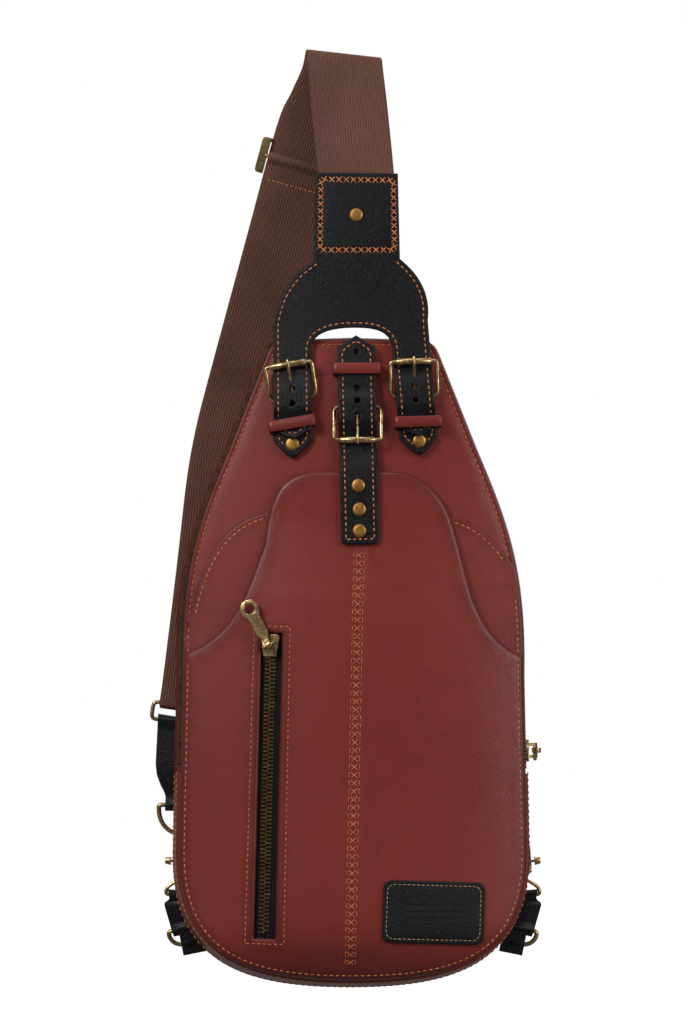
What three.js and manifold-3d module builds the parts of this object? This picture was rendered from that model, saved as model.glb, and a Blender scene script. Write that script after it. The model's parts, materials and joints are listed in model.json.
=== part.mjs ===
// Leather sling bag with a webbing shoulder strap, roller buckles and antique brass hardware.
// Millimetres, +Z up, the front of the bag faces -Y. The origin is inside the strap's top fold,
// where the bag hangs from a hook.
import * as THREE from "three";
import { mergeVertices } from "three/addons/utils/BufferGeometryUtils.js";
import Module from "manifold-3d";

const wasm = await Module();
wasm.setup();

// ---------------------------------------------------------------- driving sizes
// Bag body
const bagTop = 327;
const bagSideX = 86.5;
const bagBackY = 30;
const bottomEdgeY = -22;
const topEdgeY = 3;
const frontCrown = 12;
const bottomTurn = 38;
const backGrowth = 0.022;
const backSkew = -1.5;
const gussetTop = 111;
const gussetProud = 1.4;

// Leather, cloth and the clearance between two pieces that touch
const gap = 0.35;
const panelLeather = 2.0;
const pocketLeather = 1.6;
const strapLeather = 1.7;
const chapeLeather = 1.8;
const liningCloth = 0.9;
const pocketSwell = 2.8;

// Webbing
const webbingWidth = 38;
const webbingThick = 1.4;
const layerOffset = 1.1;

// Small straps and their roller buckles
const smallStrap = 19;
const buckleInside = 21.5;
const buckleHeight = 17;
const buckleWire = 1.0;
const rollerRadius = 1.75;
const prongRadius = 0.75;
const keeperTall = 5.5;
const keeperThick = 1.2;
const keeperEase = 1.45;
const rivetHead = 3.5;
const rivetShank = 1.4;
const strapHole = 1.35;

// Zips
const toothPitch = 3.9;
const railHeight = 1.0;
const centreSlit = 1.1;
const mainChain = 5.2;
const mainTape = 8.5;
const mainSlit = 0.7;
const cordProud = 0.6;
const cordInner = 2.4;
const liningInset = 3.2;

// Strap hardware
const ringWire = 1.05;
const dRingWire = 1.2;
const tabLeather = 1.5;

const roundSides = 10;

// ---------------------------------------------------------------- materials
function leather(color, roughness) {
  return new THREE.MeshStandardMaterial({ color, roughness, metalness: 0 });
}
const redLeather = () => leather(0x7c332f, 0.42);
const blackLeather = () => leather(0x17181c, 0.5);
const brownWebbing = () => leather(0x6a4638, 0.9);
const blackTape = () => leather(0x141416, 0.85);
const liningFabric = () => leather(0x3a3532, 0.9);
const brass = () => new THREE.MeshStandardMaterial({ color: 0x9b7c48, roughness: 0.35, metalness: 1 });

// ---------------------------------------------------------------- solids
function solidFrom(geometry) {
  const bare = geometry.clone();
  bare.deleteAttribute("normal");
  bare.deleteAttribute("uv");
  const merged = mergeVertices(bare, 1e-4);
  return new wasm.Manifold(new wasm.Mesh({
    numProp: 3,
    vertProperties: Float32Array.from(merged.attributes.position.array),
    triVerts: Uint32Array.from(merged.index.array),
  }));
}

function geometryFrom(solid) {
  const mesh = solid.getMesh();
  const geometry = new THREE.BufferGeometry();
  geometry.setAttribute("position", new THREE.BufferAttribute(mesh.vertProperties, 3));
  geometry.setIndex(new THREE.BufferAttribute(mesh.triVerts, 1));
  geometry.computeVertexNormals();
  return geometry;
}

const bag = new THREE.Group();

function addPart(name, solid, material) {
  const mesh = new THREE.Mesh(geometryFrom(solid), material);
  mesh.name = name;
  bag.add(mesh);
  return mesh;
}

function united(solids) {
  return solids.reduce((whole, solid) => whole.add(solid));
}

function cutBy(solid, tools) {
  return tools.reduce((rest, tool) => rest.subtract(tool), solid);
}

// A shape drawn in the XZ plane, given depth from frontY to backY.
function prismGeometry(shape, frontY, backY) {
  const settings = { depth: backY - frontY, bevelEnabled: false, curveSegments: 6 };
  const geometry = new THREE.ExtrudeGeometry(shape, settings);
  geometry.rotateX(Math.PI / 2);
  geometry.translate(0, backY, 0);
  return geometry;
}

function prism(shape, frontY, backY, matrix = new THREE.Matrix4()) {
  return solidFrom(prismGeometry(shape, frontY, backY).applyMatrix4(matrix));
}

function block(size, centre, matrix = new THREE.Matrix4()) {
  const geometry = new THREE.BoxGeometry(...size);
  geometry.translate(...centre);
  return solidFrom(geometry.applyMatrix4(matrix));
}

// A round bar between two points.
function bar(start, end, radius, sides = roundSides, endRadius = radius) {
  const along = end.clone().sub(start);
  const geometry = new THREE.CylinderGeometry(endRadius, radius, along.length(), sides);
  const turn = new THREE.Quaternion().setFromUnitVectors(new THREE.Vector3(0, 1, 0), along.normalize());
  geometry.applyQuaternion(turn);
  const middle = start.clone().add(end).multiplyScalar(0.5);
  geometry.translate(middle.x, middle.y, middle.z);
  return solidFrom(geometry);
}

function placedBar(matrix, start, end, radius, sides = roundSides, endRadius = radius) {
  return bar(start.clone().applyMatrix4(matrix), end.clone().applyMatrix4(matrix), radius, sides, endRadius);
}

// A section carried along stations. Each station has an origin and the two directions that the
// section's x and y follow there. A closed sweep joins its last station to its first.
function sweep(section, stations, closed = false) {
  const positions = [];
  for (const { origin, sideways, outward } of stations) {
    for (const corner of section) {
      const point = origin.clone().addScaledVector(sideways, corner.x).addScaledVector(outward, corner.y);
      positions.push(point.x, point.y, point.z);
    }
  }
  const around = section.length;
  const count = stations.length;
  const triangles = [];
  const spans = closed ? count : count - 1;
  for (let i = 0; i < spans; i += 1) {
    const here = i * around;
    const next = ((i + 1) % count) * around;
    for (let k = 0; k < around; k += 1) {
      const m = (k + 1) % around;
      triangles.push(here + k, here + m, next + m, here + k, next + m, next + k);
    }
  }
  if (!closed) {
    const last = (count - 1) * around;
    for (let k = 1; k < around - 1; k += 1) {
      triangles.push(0, k + 1, k, last, last + k, last + k + 1);
    }
  }
  const geometry = new THREE.BufferGeometry();
  geometry.setAttribute("position", new THREE.Float32BufferAttribute(positions, 3));
  geometry.setIndex(triangles);
  const solid = solidFrom(geometry);
  return solid.volume() > 0 ? solid : solidFrom(turnedInsideOut(geometry));
}

function turnedInsideOut(geometry) {
  const flipped = geometry.clone();
  const order = Array.from(geometry.index.array);
  for (let i = 0; i < order.length; i += 3) {
    [order[i], order[i + 1]] = [order[i + 1], order[i]];
  }
  flipped.setIndex(order);
  return flipped;
}

function roundSection(radius, sides = 10) {
  const corners = [];
  for (let k = 0; k < sides; k += 1) {
    const angle = (2 * Math.PI * k) / sides;
    corners.push(new THREE.Vector2(radius * Math.cos(angle), radius * Math.sin(angle)));
  }
  return corners;
}

// Round wire along points that lie in one plane, whose normal is given.
function wire(points, radius, normal, closed = false, sides = 10) {
  const stations = points.map((point, i) => {
    const last = points.length - 1;
    const before = points[closed ? (i + last) % points.length : Math.max(i - 1, 0)];
    const after = points[closed ? (i + 1) % points.length : Math.min(i + 1, last)];
    const tangent = after.clone().sub(before).normalize();
    return { origin: point, sideways: normal.clone().cross(tangent).normalize(), outward: normal };
  });
  return sweep(roundSection(radius, sides), stations, closed);
}

// Webbing along stations, each a point with the direction across the webbing.
function webbing(points, acrossDirections) {
  const half = webbingWidth / 2;
  const thick = webbingThick / 2;
  const section = [
    new THREE.Vector2(-half, -thick),
    new THREE.Vector2(half, -thick),
    new THREE.Vector2(half, thick),
    new THREE.Vector2(-half, thick),
  ];
  const stations = points.map((point, i) => {
    const before = points[Math.max(i - 1, 0)];
    const after = points[Math.min(i + 1, points.length - 1)];
    const tangent = after.clone().sub(before).normalize();
    const across = acrossDirections[i].clone();
    across.addScaledVector(tangent, -across.dot(tangent)).normalize();
    return { origin: point, sideways: across, outward: tangent.clone().cross(across).normalize() };
  });
  return sweep(section, stations);
}

const vec = (x, y, z) => new THREE.Vector3(x, y, z);

// ---------------------------------------------------------------- the bag's front surface
// Outer face of the front panel: a plane leaning back towards the top, with a gentle crown.
function frontY(x, z) {
  const rise = (z - 8) / (bagTop - 8);
  const edge = bottomEdgeY + (topEdgeY - bottomEdgeY) * rise;
  const low = Math.min(Math.max((bottomTurn - z) / (bottomTurn - 8), 0), 1.1);
  const high = Math.min(Math.max((z - 240) / (bagTop - 240), 0), 1);
  const crown = frontCrown * (1 - low * low) * (1 - 0.25 * high * high);
  return edge - crown * (1 - (x / 90) ** 2);
}

// Evenly spaced lines, or several runs of them joined.
function spaced(...runs) {
  const lines = [];
  for (const [start, end, count] of runs) {
    for (let i = 0; i <= count; i += 1) {
      lines.push(start + ((end - start) * i) / count);
    }
  }
  return lines.filter((value, i) => i === 0 || value > lines[i - 1] + 1e-6);
}

// A closed slab over a grid of x and z lines. Both faces are height fields over the same grid.
function gridSlab(nearY, farY, grid) {
  const { xs, zs } = grid;
  const positions = [];
  for (const face of [nearY, farY]) {
    for (const z of zs) {
      for (const x of xs) {
        positions.push(x, face(x, z), z);
      }
    }
  }
  const columns = xs.length;
  const layer = columns * zs.length;
  const triangles = [];
  const wall = (a, b) => triangles.push(a, a + layer, b + layer, a, b + layer, b);
  for (let j = 0; j < zs.length - 1; j += 1) {
    for (let i = 0; i < columns - 1; i += 1) {
      const a = j * columns + i;
      const b = a + 1;
      const c = a + columns;
      const d = c + 1;
      triangles.push(a, b, d, a, d, c);
      triangles.push(a + layer, d + layer, b + layer, a + layer, c + layer, d + layer);
    }
  }
  for (let i = 0; i < columns - 1; i += 1) {
    wall(i, i + 1);
    wall(layer - i - 1, layer - i - 2);
  }
  for (let j = 0; j < zs.length - 1; j += 1) {
    wall((j + 1) * columns, j * columns);
    wall((j + 1) * columns - 1, (j + 2) * columns - 1);
  }
  const geometry = new THREE.BufferGeometry();
  geometry.setAttribute("position", new THREE.Float32BufferAttribute(positions, 3));
  geometry.setIndex(triangles);
  return solidFrom(geometry);
}

// A slab that follows the front surface, between two lifts measured out towards the front.
function slab(innerLift, outerLift, grid) {
  const inner = typeof innerLift === "function" ? innerLift : () => innerLift;
  const outer = typeof outerLift === "function" ? outerLift : () => outerLift;
  return gridSlab((x, z) => frontY(x, z) - outer(x, z), (x, z) => frontY(x, z) - inner(x, z), grid);
}

// A thick block that reaches from the given depth behind the front surface to backLimit.
function behindFront(depth, backLimit, grid) {
  return gridSlab((x, z) => frontY(x, z) + depth, () => backLimit, grid);
}

const lowLines = [[-10, 8, 1], [8, 38, 5]];
const wholeBag = { xs: spaced([-96, 96, 10]), zs: spaced(...lowLines, [38, 240, 5], [240, bagTop + 8, 6]) };

// ---------------------------------------------------------------- the bag's outline
// Right half from the bottom centre to the top centre; the left half mirrors it.
function halfOutline() {
  const side = new THREE.Path();
  side.moveTo(0, 8);
  side.bezierCurveTo(50, 8, bagSideX, 18, bagSideX, 71);
  side.lineTo(bagSideX - 1.7, 160);
  side.bezierCurveTo(bagSideX - 0.5, 212, bagSideX - 9.5, 236, 62, 271);
  side.lineTo(42.5, bagTop - 7);
  side.quadraticCurveTo(40.5, bagTop - 1.5, 35, bagTop - 1);
  side.lineTo(0, bagTop);
  return side.getPoints(8);
}

function inset(points, distance) {
  const count = points.length;
  return points.map((point, i) => {
    const before = points[(i + count - 1) % count];
    const after = points[(i + 1) % count];
    const arriving = point.clone().sub(before).normalize();
    const leaving = after.clone().sub(point).normalize();
    const tangent = arriving.clone().add(leaving).normalize();
    const inward = new THREE.Vector2(-tangent.y, tangent.x);
    const stretch = inward.dot(new THREE.Vector2(-arriving.y, arriving.x));
    return point.clone().addScaledVector(inward, distance / stretch);
  });
}

function bagOutline(distance, asPoints = false) {
  const right = halfOutline();
  const left = right.slice(1, -1).reverse().map((point) => new THREE.Vector2(-point.x, point.y));
  const points = inset([...right, ...left], distance);
  return asPoints ? points : new THREE.Shape(points);
}

// The bag grows a little and leans to its left towards the back.
function grown(x, y, z) {
  const back = (y - bottomEdgeY) / (bagBackY - bottomEdgeY);
  const scale = 1 + backGrowth * back;
  return vec(x * scale + backSkew * Math.max(back, 0), y, bagTop + (z - bagTop) * scale);
}

function bagPrism(distance) {
  const geometry = prismGeometry(bagOutline(distance), -60, 40);
  const position = geometry.attributes.position;
  for (let i = 0; i < position.count; i += 1) {
    const moved = grown(position.getX(i), position.getY(i), position.getZ(i));
    position.setXYZ(i, moved.x, moved.y, moved.z);
  }
  return solidFrom(geometry);
}

// A band that follows the bag's outline, whole or from fromZ upwards. Its section is drawn as
// (distance inwards, share of the way from nearY to farY).
function rim(section, nearY, farY, fromZ, toZ) {
  const rings = rimOutline(fromZ, toZ);
  const depths = section.map((corner) => bagOutline(corner.x, true));
  const around = section.length;
  const positions = [];
  for (const k of rings) {
    section.forEach((corner, c) => {
      const spot = clipped(depths[c], k);
      const y = nearY(spot.x, spot.y) + corner.y * (farY(spot.x, spot.y) - nearY(spot.x, spot.y));
      const point = grown(spot.x, y, spot.y);
      positions.push(point.x, point.y, point.z);
    });
  }
  const triangles = [];
  for (let i = 0; i < rings.length - 1; i += 1) {
    for (let c = 0; c < around; c += 1) {
      const m = (c + 1) % around;
      const here = i * around;
      const next = here + around;
      triangles.push(here + c, here + m, next + m, here + c, next + m, next + c);
    }
  }
  const last = (rings.length - 1) * around;
  for (const [a, b, c] of THREE.ShapeUtils.triangulateShape(section, [])) {
    triangles.push(a, c, b, last + a, last + b, last + c);
  }
  const geometry = new THREE.BufferGeometry();
  geometry.setAttribute("position", new THREE.Float32BufferAttribute(positions, 3));
  geometry.setIndex(triangles);
  const solid = solidFrom(geometry);
  return solid.volume() > 0 ? solid : solidFrom(turnedInsideOut(geometry));
}

// Places along the outline: a whole number is a corner, and a fraction lies between two corners.
function rimOutline(fromZ, toZ) {
  const points = bagOutline(0, true);
  const count = points.length;
  const upper = fromZ !== undefined;
  const level = upper ? fromZ : toZ;
  const start = points.findIndex((point, i) => point.y < level && points[(i + 1) % count].y >= level);
  const end = points.findIndex((point, i) => point.y >= level && points[(i + 1) % count].y < level);
  const share = (i) => (level - points[i].y) / (points[(i + 1) % count].y - points[i].y);
  const first = upper ? start : end;
  const final = upper ? end : start + count;
  const places = [first + share(first)];
  for (let i = first + 1; i <= final; i += 1) {
    places.push(i);
  }
  places.push(final + share(final % count));
  return places;
}

function clipped(points, place) {
  const count = points.length;
  const low = Math.floor(place);
  return points[low % count].clone().lerp(points[(low + 1) % count], place - low);
}

// ---------------------------------------------------------------- bag body
const frontOuter = 0;
const frontInner = -panelLeather;
const backPanelInner = bagBackY - 2.6;
const wallLeather = 1.8;

const corner = (inwards, share) => new THREE.Vector2(inwards, share);

function wallSection(outer, inner) {
  return [corner(outer, 0), corner(inner, 0), corner(inner, 1), corner(outer, 1)];
}

const depthBehind = (depth) => (x, z) => frontY(x, z) + depth;

function addBody() {
  const front = bagPrism(0).intersect(slab(frontInner, frontOuter, wholeBag));
  addPart("front_panel", front, redLeather());

  const back = bagPrism(-gussetProud).intersect(block([220, bagBackY - backPanelInner, 400],
    [0, (bagBackY + backPanelInner) / 2, 160]));
  addPart("back_panel", back, redLeather());

  const wallBack = backPanelInner - gap;
  const underPanel = depthBehind(panelLeather + gap + 0.15);
  const proudWall = wallSection(-gussetProud, wallLeather - gussetProud);
  addPart("lower_gusset", rim(proudWall, underPanel, () => wallBack, undefined, gussetTop), redLeather());

  const chainStart = panelLeather + gap + mainTape;
  const stripStart = depthBehind(chainStart + mainChain + mainTape + gap);
  const strip = rim(wallSection(0, wallLeather), stripStart, () => wallBack, gussetTop + gap);
  addPart("upper_gusset", strip, redLeather());

  addMainZip(chainStart);
  addLining(wallBack);
}

// The main zip runs up one side, over the top and down the other. Each half is a woven tape with
// a raised cord that carries its teeth.
function addMainZip(chainStart) {
  const halfWidth = mainTape + mainChain / 2 - mainSlit / 2;
  const cord = 1 - (mainChain / 2) / halfWidth;
  const outer = 0.5;
  const inner = 1.5;
  const section = [
    corner(outer, 0), corner(inner, 0), corner(inner, cord), corner(cordInner, cord),
    corner(cordInner, 1), corner(-cordProud, 1), corner(-cordProud, cord), corner(outer, cord),
  ];
  const near = depthBehind(panelLeather + gap + 0.15);
  const middle = depthBehind(chainStart + mainChain / 2 - mainSlit / 2);
  const beyond = depthBehind(chainStart + mainChain / 2 + mainSlit / 2);
  const far = depthBehind(chainStart + mainChain + mainTape);
  const from = gussetTop + gap;
  addPart("main_zip_tape_front", rim(section, near, middle, from), blackTape());
  const mirrored = section.map((spot) => corner(spot.x, 1 - spot.y)).reverse();
  addPart("main_zip_tape_back", rim(mirrored, beyond, far, from), blackTape());
}

// A cloth tray behind the front panel. Its open side faces the front panel.
function addLining(wallBack) {
  const coarse = { xs: spaced([-96, 96, 4]), zs: spaced([-10, 96, 4], [96, bagTop + 8, 4]) };
  const outer = bagPrism(liningInset).intersect(behindFront(panelLeather + 4, wallBack - gap, coarse));
  const inner = bagPrism(liningInset + liningCloth).intersect(behindFront(0, wallBack - gap - liningCloth, coarse));
  addPart("main_lining", outer.subtract(inner), liningFabric());
}

// ---------------------------------------------------------------- front pocket
const backingInner = gap;
const backingOuter = backingInner + pocketLeather;

// How far the pocket front stands off its backing: full in the middle, none at the sewn edge.
function swell(x, z) {
  const across = 1 - Math.min(Math.abs(x) / 88, 1) ** 6;
  const low = Math.min(Math.max((z - 8) / 18, 0), 1);
  const high = Math.min(Math.max((236 - z) / 40, 0), 1);
  return pocketSwell * across * low * high;
}

const pocketInner = (x, z) => backingOuter + gap + swell(x, z);
const pocketOuter = (x, z) => pocketInner(x, z) + pocketLeather;

// The backing ends in two curved shoulders, the ears, beside the pocket front.
function backingShape() {
  const shape = new THREE.Shape();
  shape.moveTo(-100, -10);
  shape.lineTo(100, -10);
  shape.lineTo(100, 190);
  shape.bezierCurveTo(80, 205, 76, 235, 45, 239);
  shape.lineTo(-38, 241);
  shape.bezierCurveTo(-70, 238, -79, 205, -83, 180);
  shape.lineTo(-100, 170);
  shape.closePath();
  return shape;
}

// The pocket front is bottle shaped: a rounded neck that widens in an S curve to the sides.
function pocketShape() {
  const shape = new THREE.Shape();
  shape.moveTo(-100, -10);
  shape.lineTo(100, -10);
  shape.lineTo(100, 165);
  shape.lineTo(80.5, 170.5);
  shape.bezierCurveTo(60, 182, 58, 205, 52, 226);
  shape.bezierCurveTo(48, 244, 40, 258, 22, 260.5);
  shape.lineTo(-22, 260.5);
  shape.bezierCurveTo(-38, 258, -42, 246, -44.5, 224);
  shape.bezierCurveTo(-52, 205, -56, 184, -79, 172);
  shape.lineTo(-100, 165);
  shape.closePath();
  return shape;
}

// Front zip: a straight slot that leans a little to the right at its top.
const zipTop = vec(-40.3, 0, 179.3);
const zipBottom = vec(-43.8, 0, 30.5);
const zipLength = zipTop.distanceTo(zipBottom);
const zipLean = Math.atan2(zipTop.x - zipBottom.x, zipTop.z - zipBottom.z);
const slotHalf = 5.2;
const tapeHalf = 8.5;

// Frame of the front zip: local z runs up the slot, local x across it, local -y out of the bag.
function zipFrame() {
  const bottom = vec(zipBottom.x, frontY(zipBottom.x, zipBottom.z), zipBottom.z);
  const top = vec(zipTop.x, frontY(zipTop.x, zipTop.z), zipTop.z);
  const up = top.sub(bottom).normalize();
  const slopeX = (frontY(-35, 105) - frontY(-49, 105)) / 14;
  const across = vec(1, slopeX, 0).addScaledVector(up, -vec(1, slopeX, 0).dot(up)).normalize();
  const inward = up.clone().cross(across);
  return new THREE.Matrix4().makeBasis(across, inward, up).setPosition(bottom);
}

// The front surface bows out between the zip's ends, and the chain follows it.
function zipBow(along) {
  const frame = zipFrame();
  const onLine = vec(0, 0, along).applyMatrix4(frame);
  return onLine.y - frontY(onLine.x, onLine.z);
}

const pocketGrid = {
  xs: spaced([-96, -68, 3], [-68, 68, 8], [68, 96, 3]),
  zs: spaced(...lowLines, [38, 190, 5], [190, 240, 5], [240, 270, 2]),
};

function addPocket() {
  const backing = bagPrism(0)
    .intersect(slab(backingInner, backingOuter, wholeBag))
    .intersect(prism(backingShape(), -80, 40));
  addPart("pocket_backing", backing, redLeather());

  const slot = new THREE.Shape();
  slot.moveTo(-slotHalf, -1);
  slot.lineTo(slotHalf, -1);
  slot.lineTo(slotHalf, zipLength + 1);
  slot.lineTo(-slotHalf, zipLength + 1);
  slot.closePath();
  const front = bagPrism(0)
    .intersect(slab(pocketInner, pocketOuter, pocketGrid))
    .intersect(prism(pocketShape(), -80, 40))
    .subtract(prism(slot, -40, 20, zipFrame()));
  const holes = centreRivets.map(([x, z]) => rivetHole(x, z));
  addPart("pocket_front", cutBy(front, holes), redLeather());
}

// One half of the front zip: woven tape, cord and a comb of teeth in one piece.
function zipHalf(side) {
  const half = centreSlit / 2;
  const comb = [];
  const teeth = Math.floor((zipLength - 4) / toothPitch);
  const shift = side > 0 ? toothPitch / 2 : 0;
  comb.push(new THREE.Vector2(4.0, 0.5));
  for (let i = 0; i < teeth; i += 1) {
    const start = 2 + shift + i * toothPitch;
    comb.push(new THREE.Vector2(2.2, start));
    comb.push(new THREE.Vector2(half, start + 0.3));
    comb.push(new THREE.Vector2(half, start + toothPitch / 2 - 0.3));
    comb.push(new THREE.Vector2(2.2, start + toothPitch / 2));
  }
  comb.push(new THREE.Vector2(4.0, zipLength - 0.5));
  const outline = comb.map((point) => new THREE.Vector2(side * point.x, point.y));
  const tape = new THREE.Shape([
    new THREE.Vector2(side * 2.6, -3),
    new THREE.Vector2(side * tapeHalf, -3),
    new THREE.Vector2(side * tapeHalf, zipLength + 3),
    new THREE.Vector2(side * 2.6, zipLength + 3),
  ]);
  const frame = zipFrame();
  const chain = prism(new THREE.Shape(outline), -40, 20, frame)
    .intersect(slab(chainInner, chainInner + railHeight + 0.7, zipGrid));
  return chain.add(prism(tape, -40, 20, frame).intersect(slab(tapeInner, tapeInner + 0.8, zipGrid)));
}

const tapeInner = backingOuter + gap + 0.5;
const chainInner = tapeInner + 0.2;
const zipGrid = { xs: spaced([-60, -24, 2]), zs: spaced([20, 38, 3], [38, 190, 3]) };

// The front slider is closed at the top of its slot.
function frontSliderFrame() {
  const start = zipLength - 5;
  const lift = chainInner + railHeight + 0.7 + 0.6 + zipBow(start);
  return zipFrame().multiply(new THREE.Matrix4().makeTranslation(0, -lift, start));
}

function addFrontZip() {
  addPart("front_zip_tape_left", zipHalf(-1), blackTape());
  addPart("front_zip_tape_right", zipHalf(1), blackTape());
  addZipSlider("front_zip", frontSliderFrame(), pullAngle);
}

const pullAngle = THREE.MathUtils.degToRad(60);

// A zip slider in its own frame: local z along the zip, local -y out, the origin on the inner face
// of its top plate. Its staple carries the pull; the pull's eye turns about the staple's bar.
function addZipSlider(prefix, frame, turn) {
  const plate = new THREE.Shape();
  plate.moveTo(-3.2, -5.5);
  plate.lineTo(3.2, -5.5);
  plate.lineTo(4.5, 3.5);
  plate.quadraticCurveTo(4.5, 5.5, 2.5, 5.5);
  plate.lineTo(-2.5, 5.5);
  plate.quadraticCurveTo(-4.5, 5.5, -4.5, 3.5);
  plate.closePath();
  const top = prism(plate, -1.3, 0, frame);
  const staple = frame.clone().multiply(new THREE.Matrix4().makeRotationY(turn));
  const posts = [-1, 1].map((side) => block([1.1, 3.6, 1.6], [0, -2.9, side * 3.0], staple));
  const crown = block([1.1, 1.1, 7.6], [0, -4.7 - 0.35, 0], staple);
    addPart(`${prefix}_slider`, united([top, ...posts, crown]), brass());
  addPull(`${prefix}_pull`, staple);
}

// The pull is a flat tab with a round end and a hole, narrowing to a neck with a square eye.
// In the staple's frame it lies along local -x and its eye goes round the staple's bar.
function addPull(name, staple) {
  const tab = new THREE.Shape();
  tab.moveTo(-3.4, -1.5);
  tab.lineTo(-3.4, 1.5);
  tab.lineTo(-7, 2.9);
  tab.lineTo(-16, 2.9);
  tab.bezierCurveTo(-18, 5.2, -25, 5.6, -25, 0);
  tab.bezierCurveTo(-25, -5.6, -18, -5.2, -16, -2.9);
  tab.lineTo(-7, -2.9);
  tab.closePath();
  const hole = new THREE.Path();
  hole.absarc(-20.3, 0, 2.65, 0, 2 * Math.PI, true);
  tab.holes.push(hole);
  const level = -5.05;
  const body = prism(tab, level - 0.8, level + 0.8, staple);
  const eye = ring(staple, vec(0, level, 0), 1.25, 2.35, 1.2);
  const neck = block([2.2, 1.6, 2.4], [-2.9, level, 0], staple);
  addPart(name, united([body, neck, eye]), brass());
}

// A flat ring round local z.
function ring(frame, centre, innerRadius, outerRadius, halfHeight) {
  const profile = [
    new THREE.Vector2(innerRadius, -halfHeight),
    new THREE.Vector2(outerRadius, -halfHeight),
    new THREE.Vector2(outerRadius, halfHeight),
    new THREE.Vector2(innerRadius, halfHeight),
    new THREE.Vector2(innerRadius, -halfHeight),
  ];
  const geometry = new THREE.LatheGeometry(profile, 16);
  geometry.rotateX(Math.PI / 2);
  geometry.translate(centre.x, centre.y, centre.z);
  return solidFrom(geometry.applyMatrix4(frame));
}

// The main zip's slider sits near the lower right end, on the side of the bag, its pull laid back.
const mainSliderZ = 121;

function mainSliderFrame() {
  const chainY = frontY(bagSideX, mainSliderZ) + panelLeather + gap + mainTape + mainChain / 2;
  const lean = Math.atan2(1.7, 89);
  const forward = Math.atan2(topEdgeY - bottomEdgeY, bagTop - 8);
  const back = (chainY - bottomEdgeY) / (bagBackY - bottomEdgeY);
  const outlineX = bagSideX - (mainSliderZ - 71) * Math.tan(lean);
  const sideX = outlineX * (1 + backGrowth * back) + backSkew * back;
  const up = vec(-Math.sin(lean), Math.sin(forward), Math.cos(lean)).normalize();
  const outward = vec(1, 0, Math.tan(lean)).normalize();
  const across = up.clone().cross(outward).normalize();
  const inward = up.clone().cross(across).normalize();
  const frame = new THREE.Matrix4().makeBasis(across, inward, up);
  frame.setPosition(vec(sideX, chainY, mainSliderZ).addScaledVector(inward, -cordProud - 0.5));
  return frame;
}

// ---------------------------------------------------------------- small straps and buckles
// Heights above the front surface in a buckle stack, from the bag outwards.
const loopLeather = 1.1;
const keeperBase = 0.6;
const chapeInner = gap + keeperBase + gap;
const barLift = chapeInner + loopLeather + buckleWire;
const loopRadius = buckleWire + 0.3 + loopLeather;
const chapeOuter = chapeInner + chapeLeather;
const overLoop = barLift + loopRadius + gap;
const rollerLift = 2.2 + strapLeather + gap + rollerRadius;

const tipLift = 1.4;

// Inner face of a strap that comes down over a buckle: raised over the bar's loop, low under the
// roller, and lying on the chape beyond the bar. along is measured from the bar to the roller.
function strapWave(along, lift) {
  const stops = [
    [-40, chapeOuter + gap + lift],
    [-18.8, chapeOuter + gap + lift],
    [-15.6, chapeOuter + gap],
    [-9, chapeOuter + gap],
    [-5, overLoop],
    [5, overLoop],
    [buckleHeight, 2.2],
    [buckleHeight + 8, 2.4],
    [400, 2.4],
  ];
  for (let i = 1; i < stops.length; i += 1) {
    const [start, low] = stops[i - 1];
    const [end, high] = stops[i];
    if (along <= end) {
      const t = Math.max((along - start) / (end - start), 0);
      return low + (high - low) * t * t * (3 - 2 * t);
    }
  }
  return 2.4;
}

// A buckle station: where its bar lies, how its strap and its frame are turned, and whether it is
// upside down, with the roller below the bar.
const stations = {
  left: { x: -30.2, z: 296.5, strapRoll: 0.015, frameRoll: 0.15, frameShift: 0.8, flip: 1 },
  right: { x: 31.0, z: 298, strapRoll: 0.07, frameRoll: 0.03, frameShift: -0.6, flip: 1 },
  center: { x: 2.2, z: 292.5, strapRoll: 0.02, frameRoll: 0.0, frameShift: 0, flip: -1 },
};

// Frame on the front surface: local z up the strap, local x across, local -y out of the bag.
function surfaceFrame(x, z, roll) {
  const slopeX = (frontY(x + 8, z) - frontY(x - 8, z)) / 16;
  const slopeZ = (frontY(x, z + 10) - frontY(x, z - 10)) / 20;
  const across = vec(1, slopeX, 0).normalize();
  const up = vec(0, slopeZ, 1);
  up.addScaledVector(across, -up.dot(across)).normalize();
  const inward = up.clone().cross(across);
  const frame = new THREE.Matrix4().makeBasis(across, inward, up).setPosition(vec(x, frontY(x, z), z));
  return frame.multiply(new THREE.Matrix4().makeRotationY(-roll));
}

// The buckle's frame is tilted so that its roller end stands higher than its bar.
const buckleTilt = Math.atan2(rollerLift - barLift, buckleHeight);

function buckleFrame(station) {
  const frame = surfaceFrame(station.x, station.z, station.frameRoll);
  frame.multiply(new THREE.Matrix4().makeTranslation(station.frameShift, -barLift, 0));
  if (station.flip < 0) {
    frame.multiply(new THREE.Matrix4().makeRotationY(Math.PI));
  }
  return frame.multiply(new THREE.Matrix4().makeRotationX(buckleTilt));
}

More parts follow.
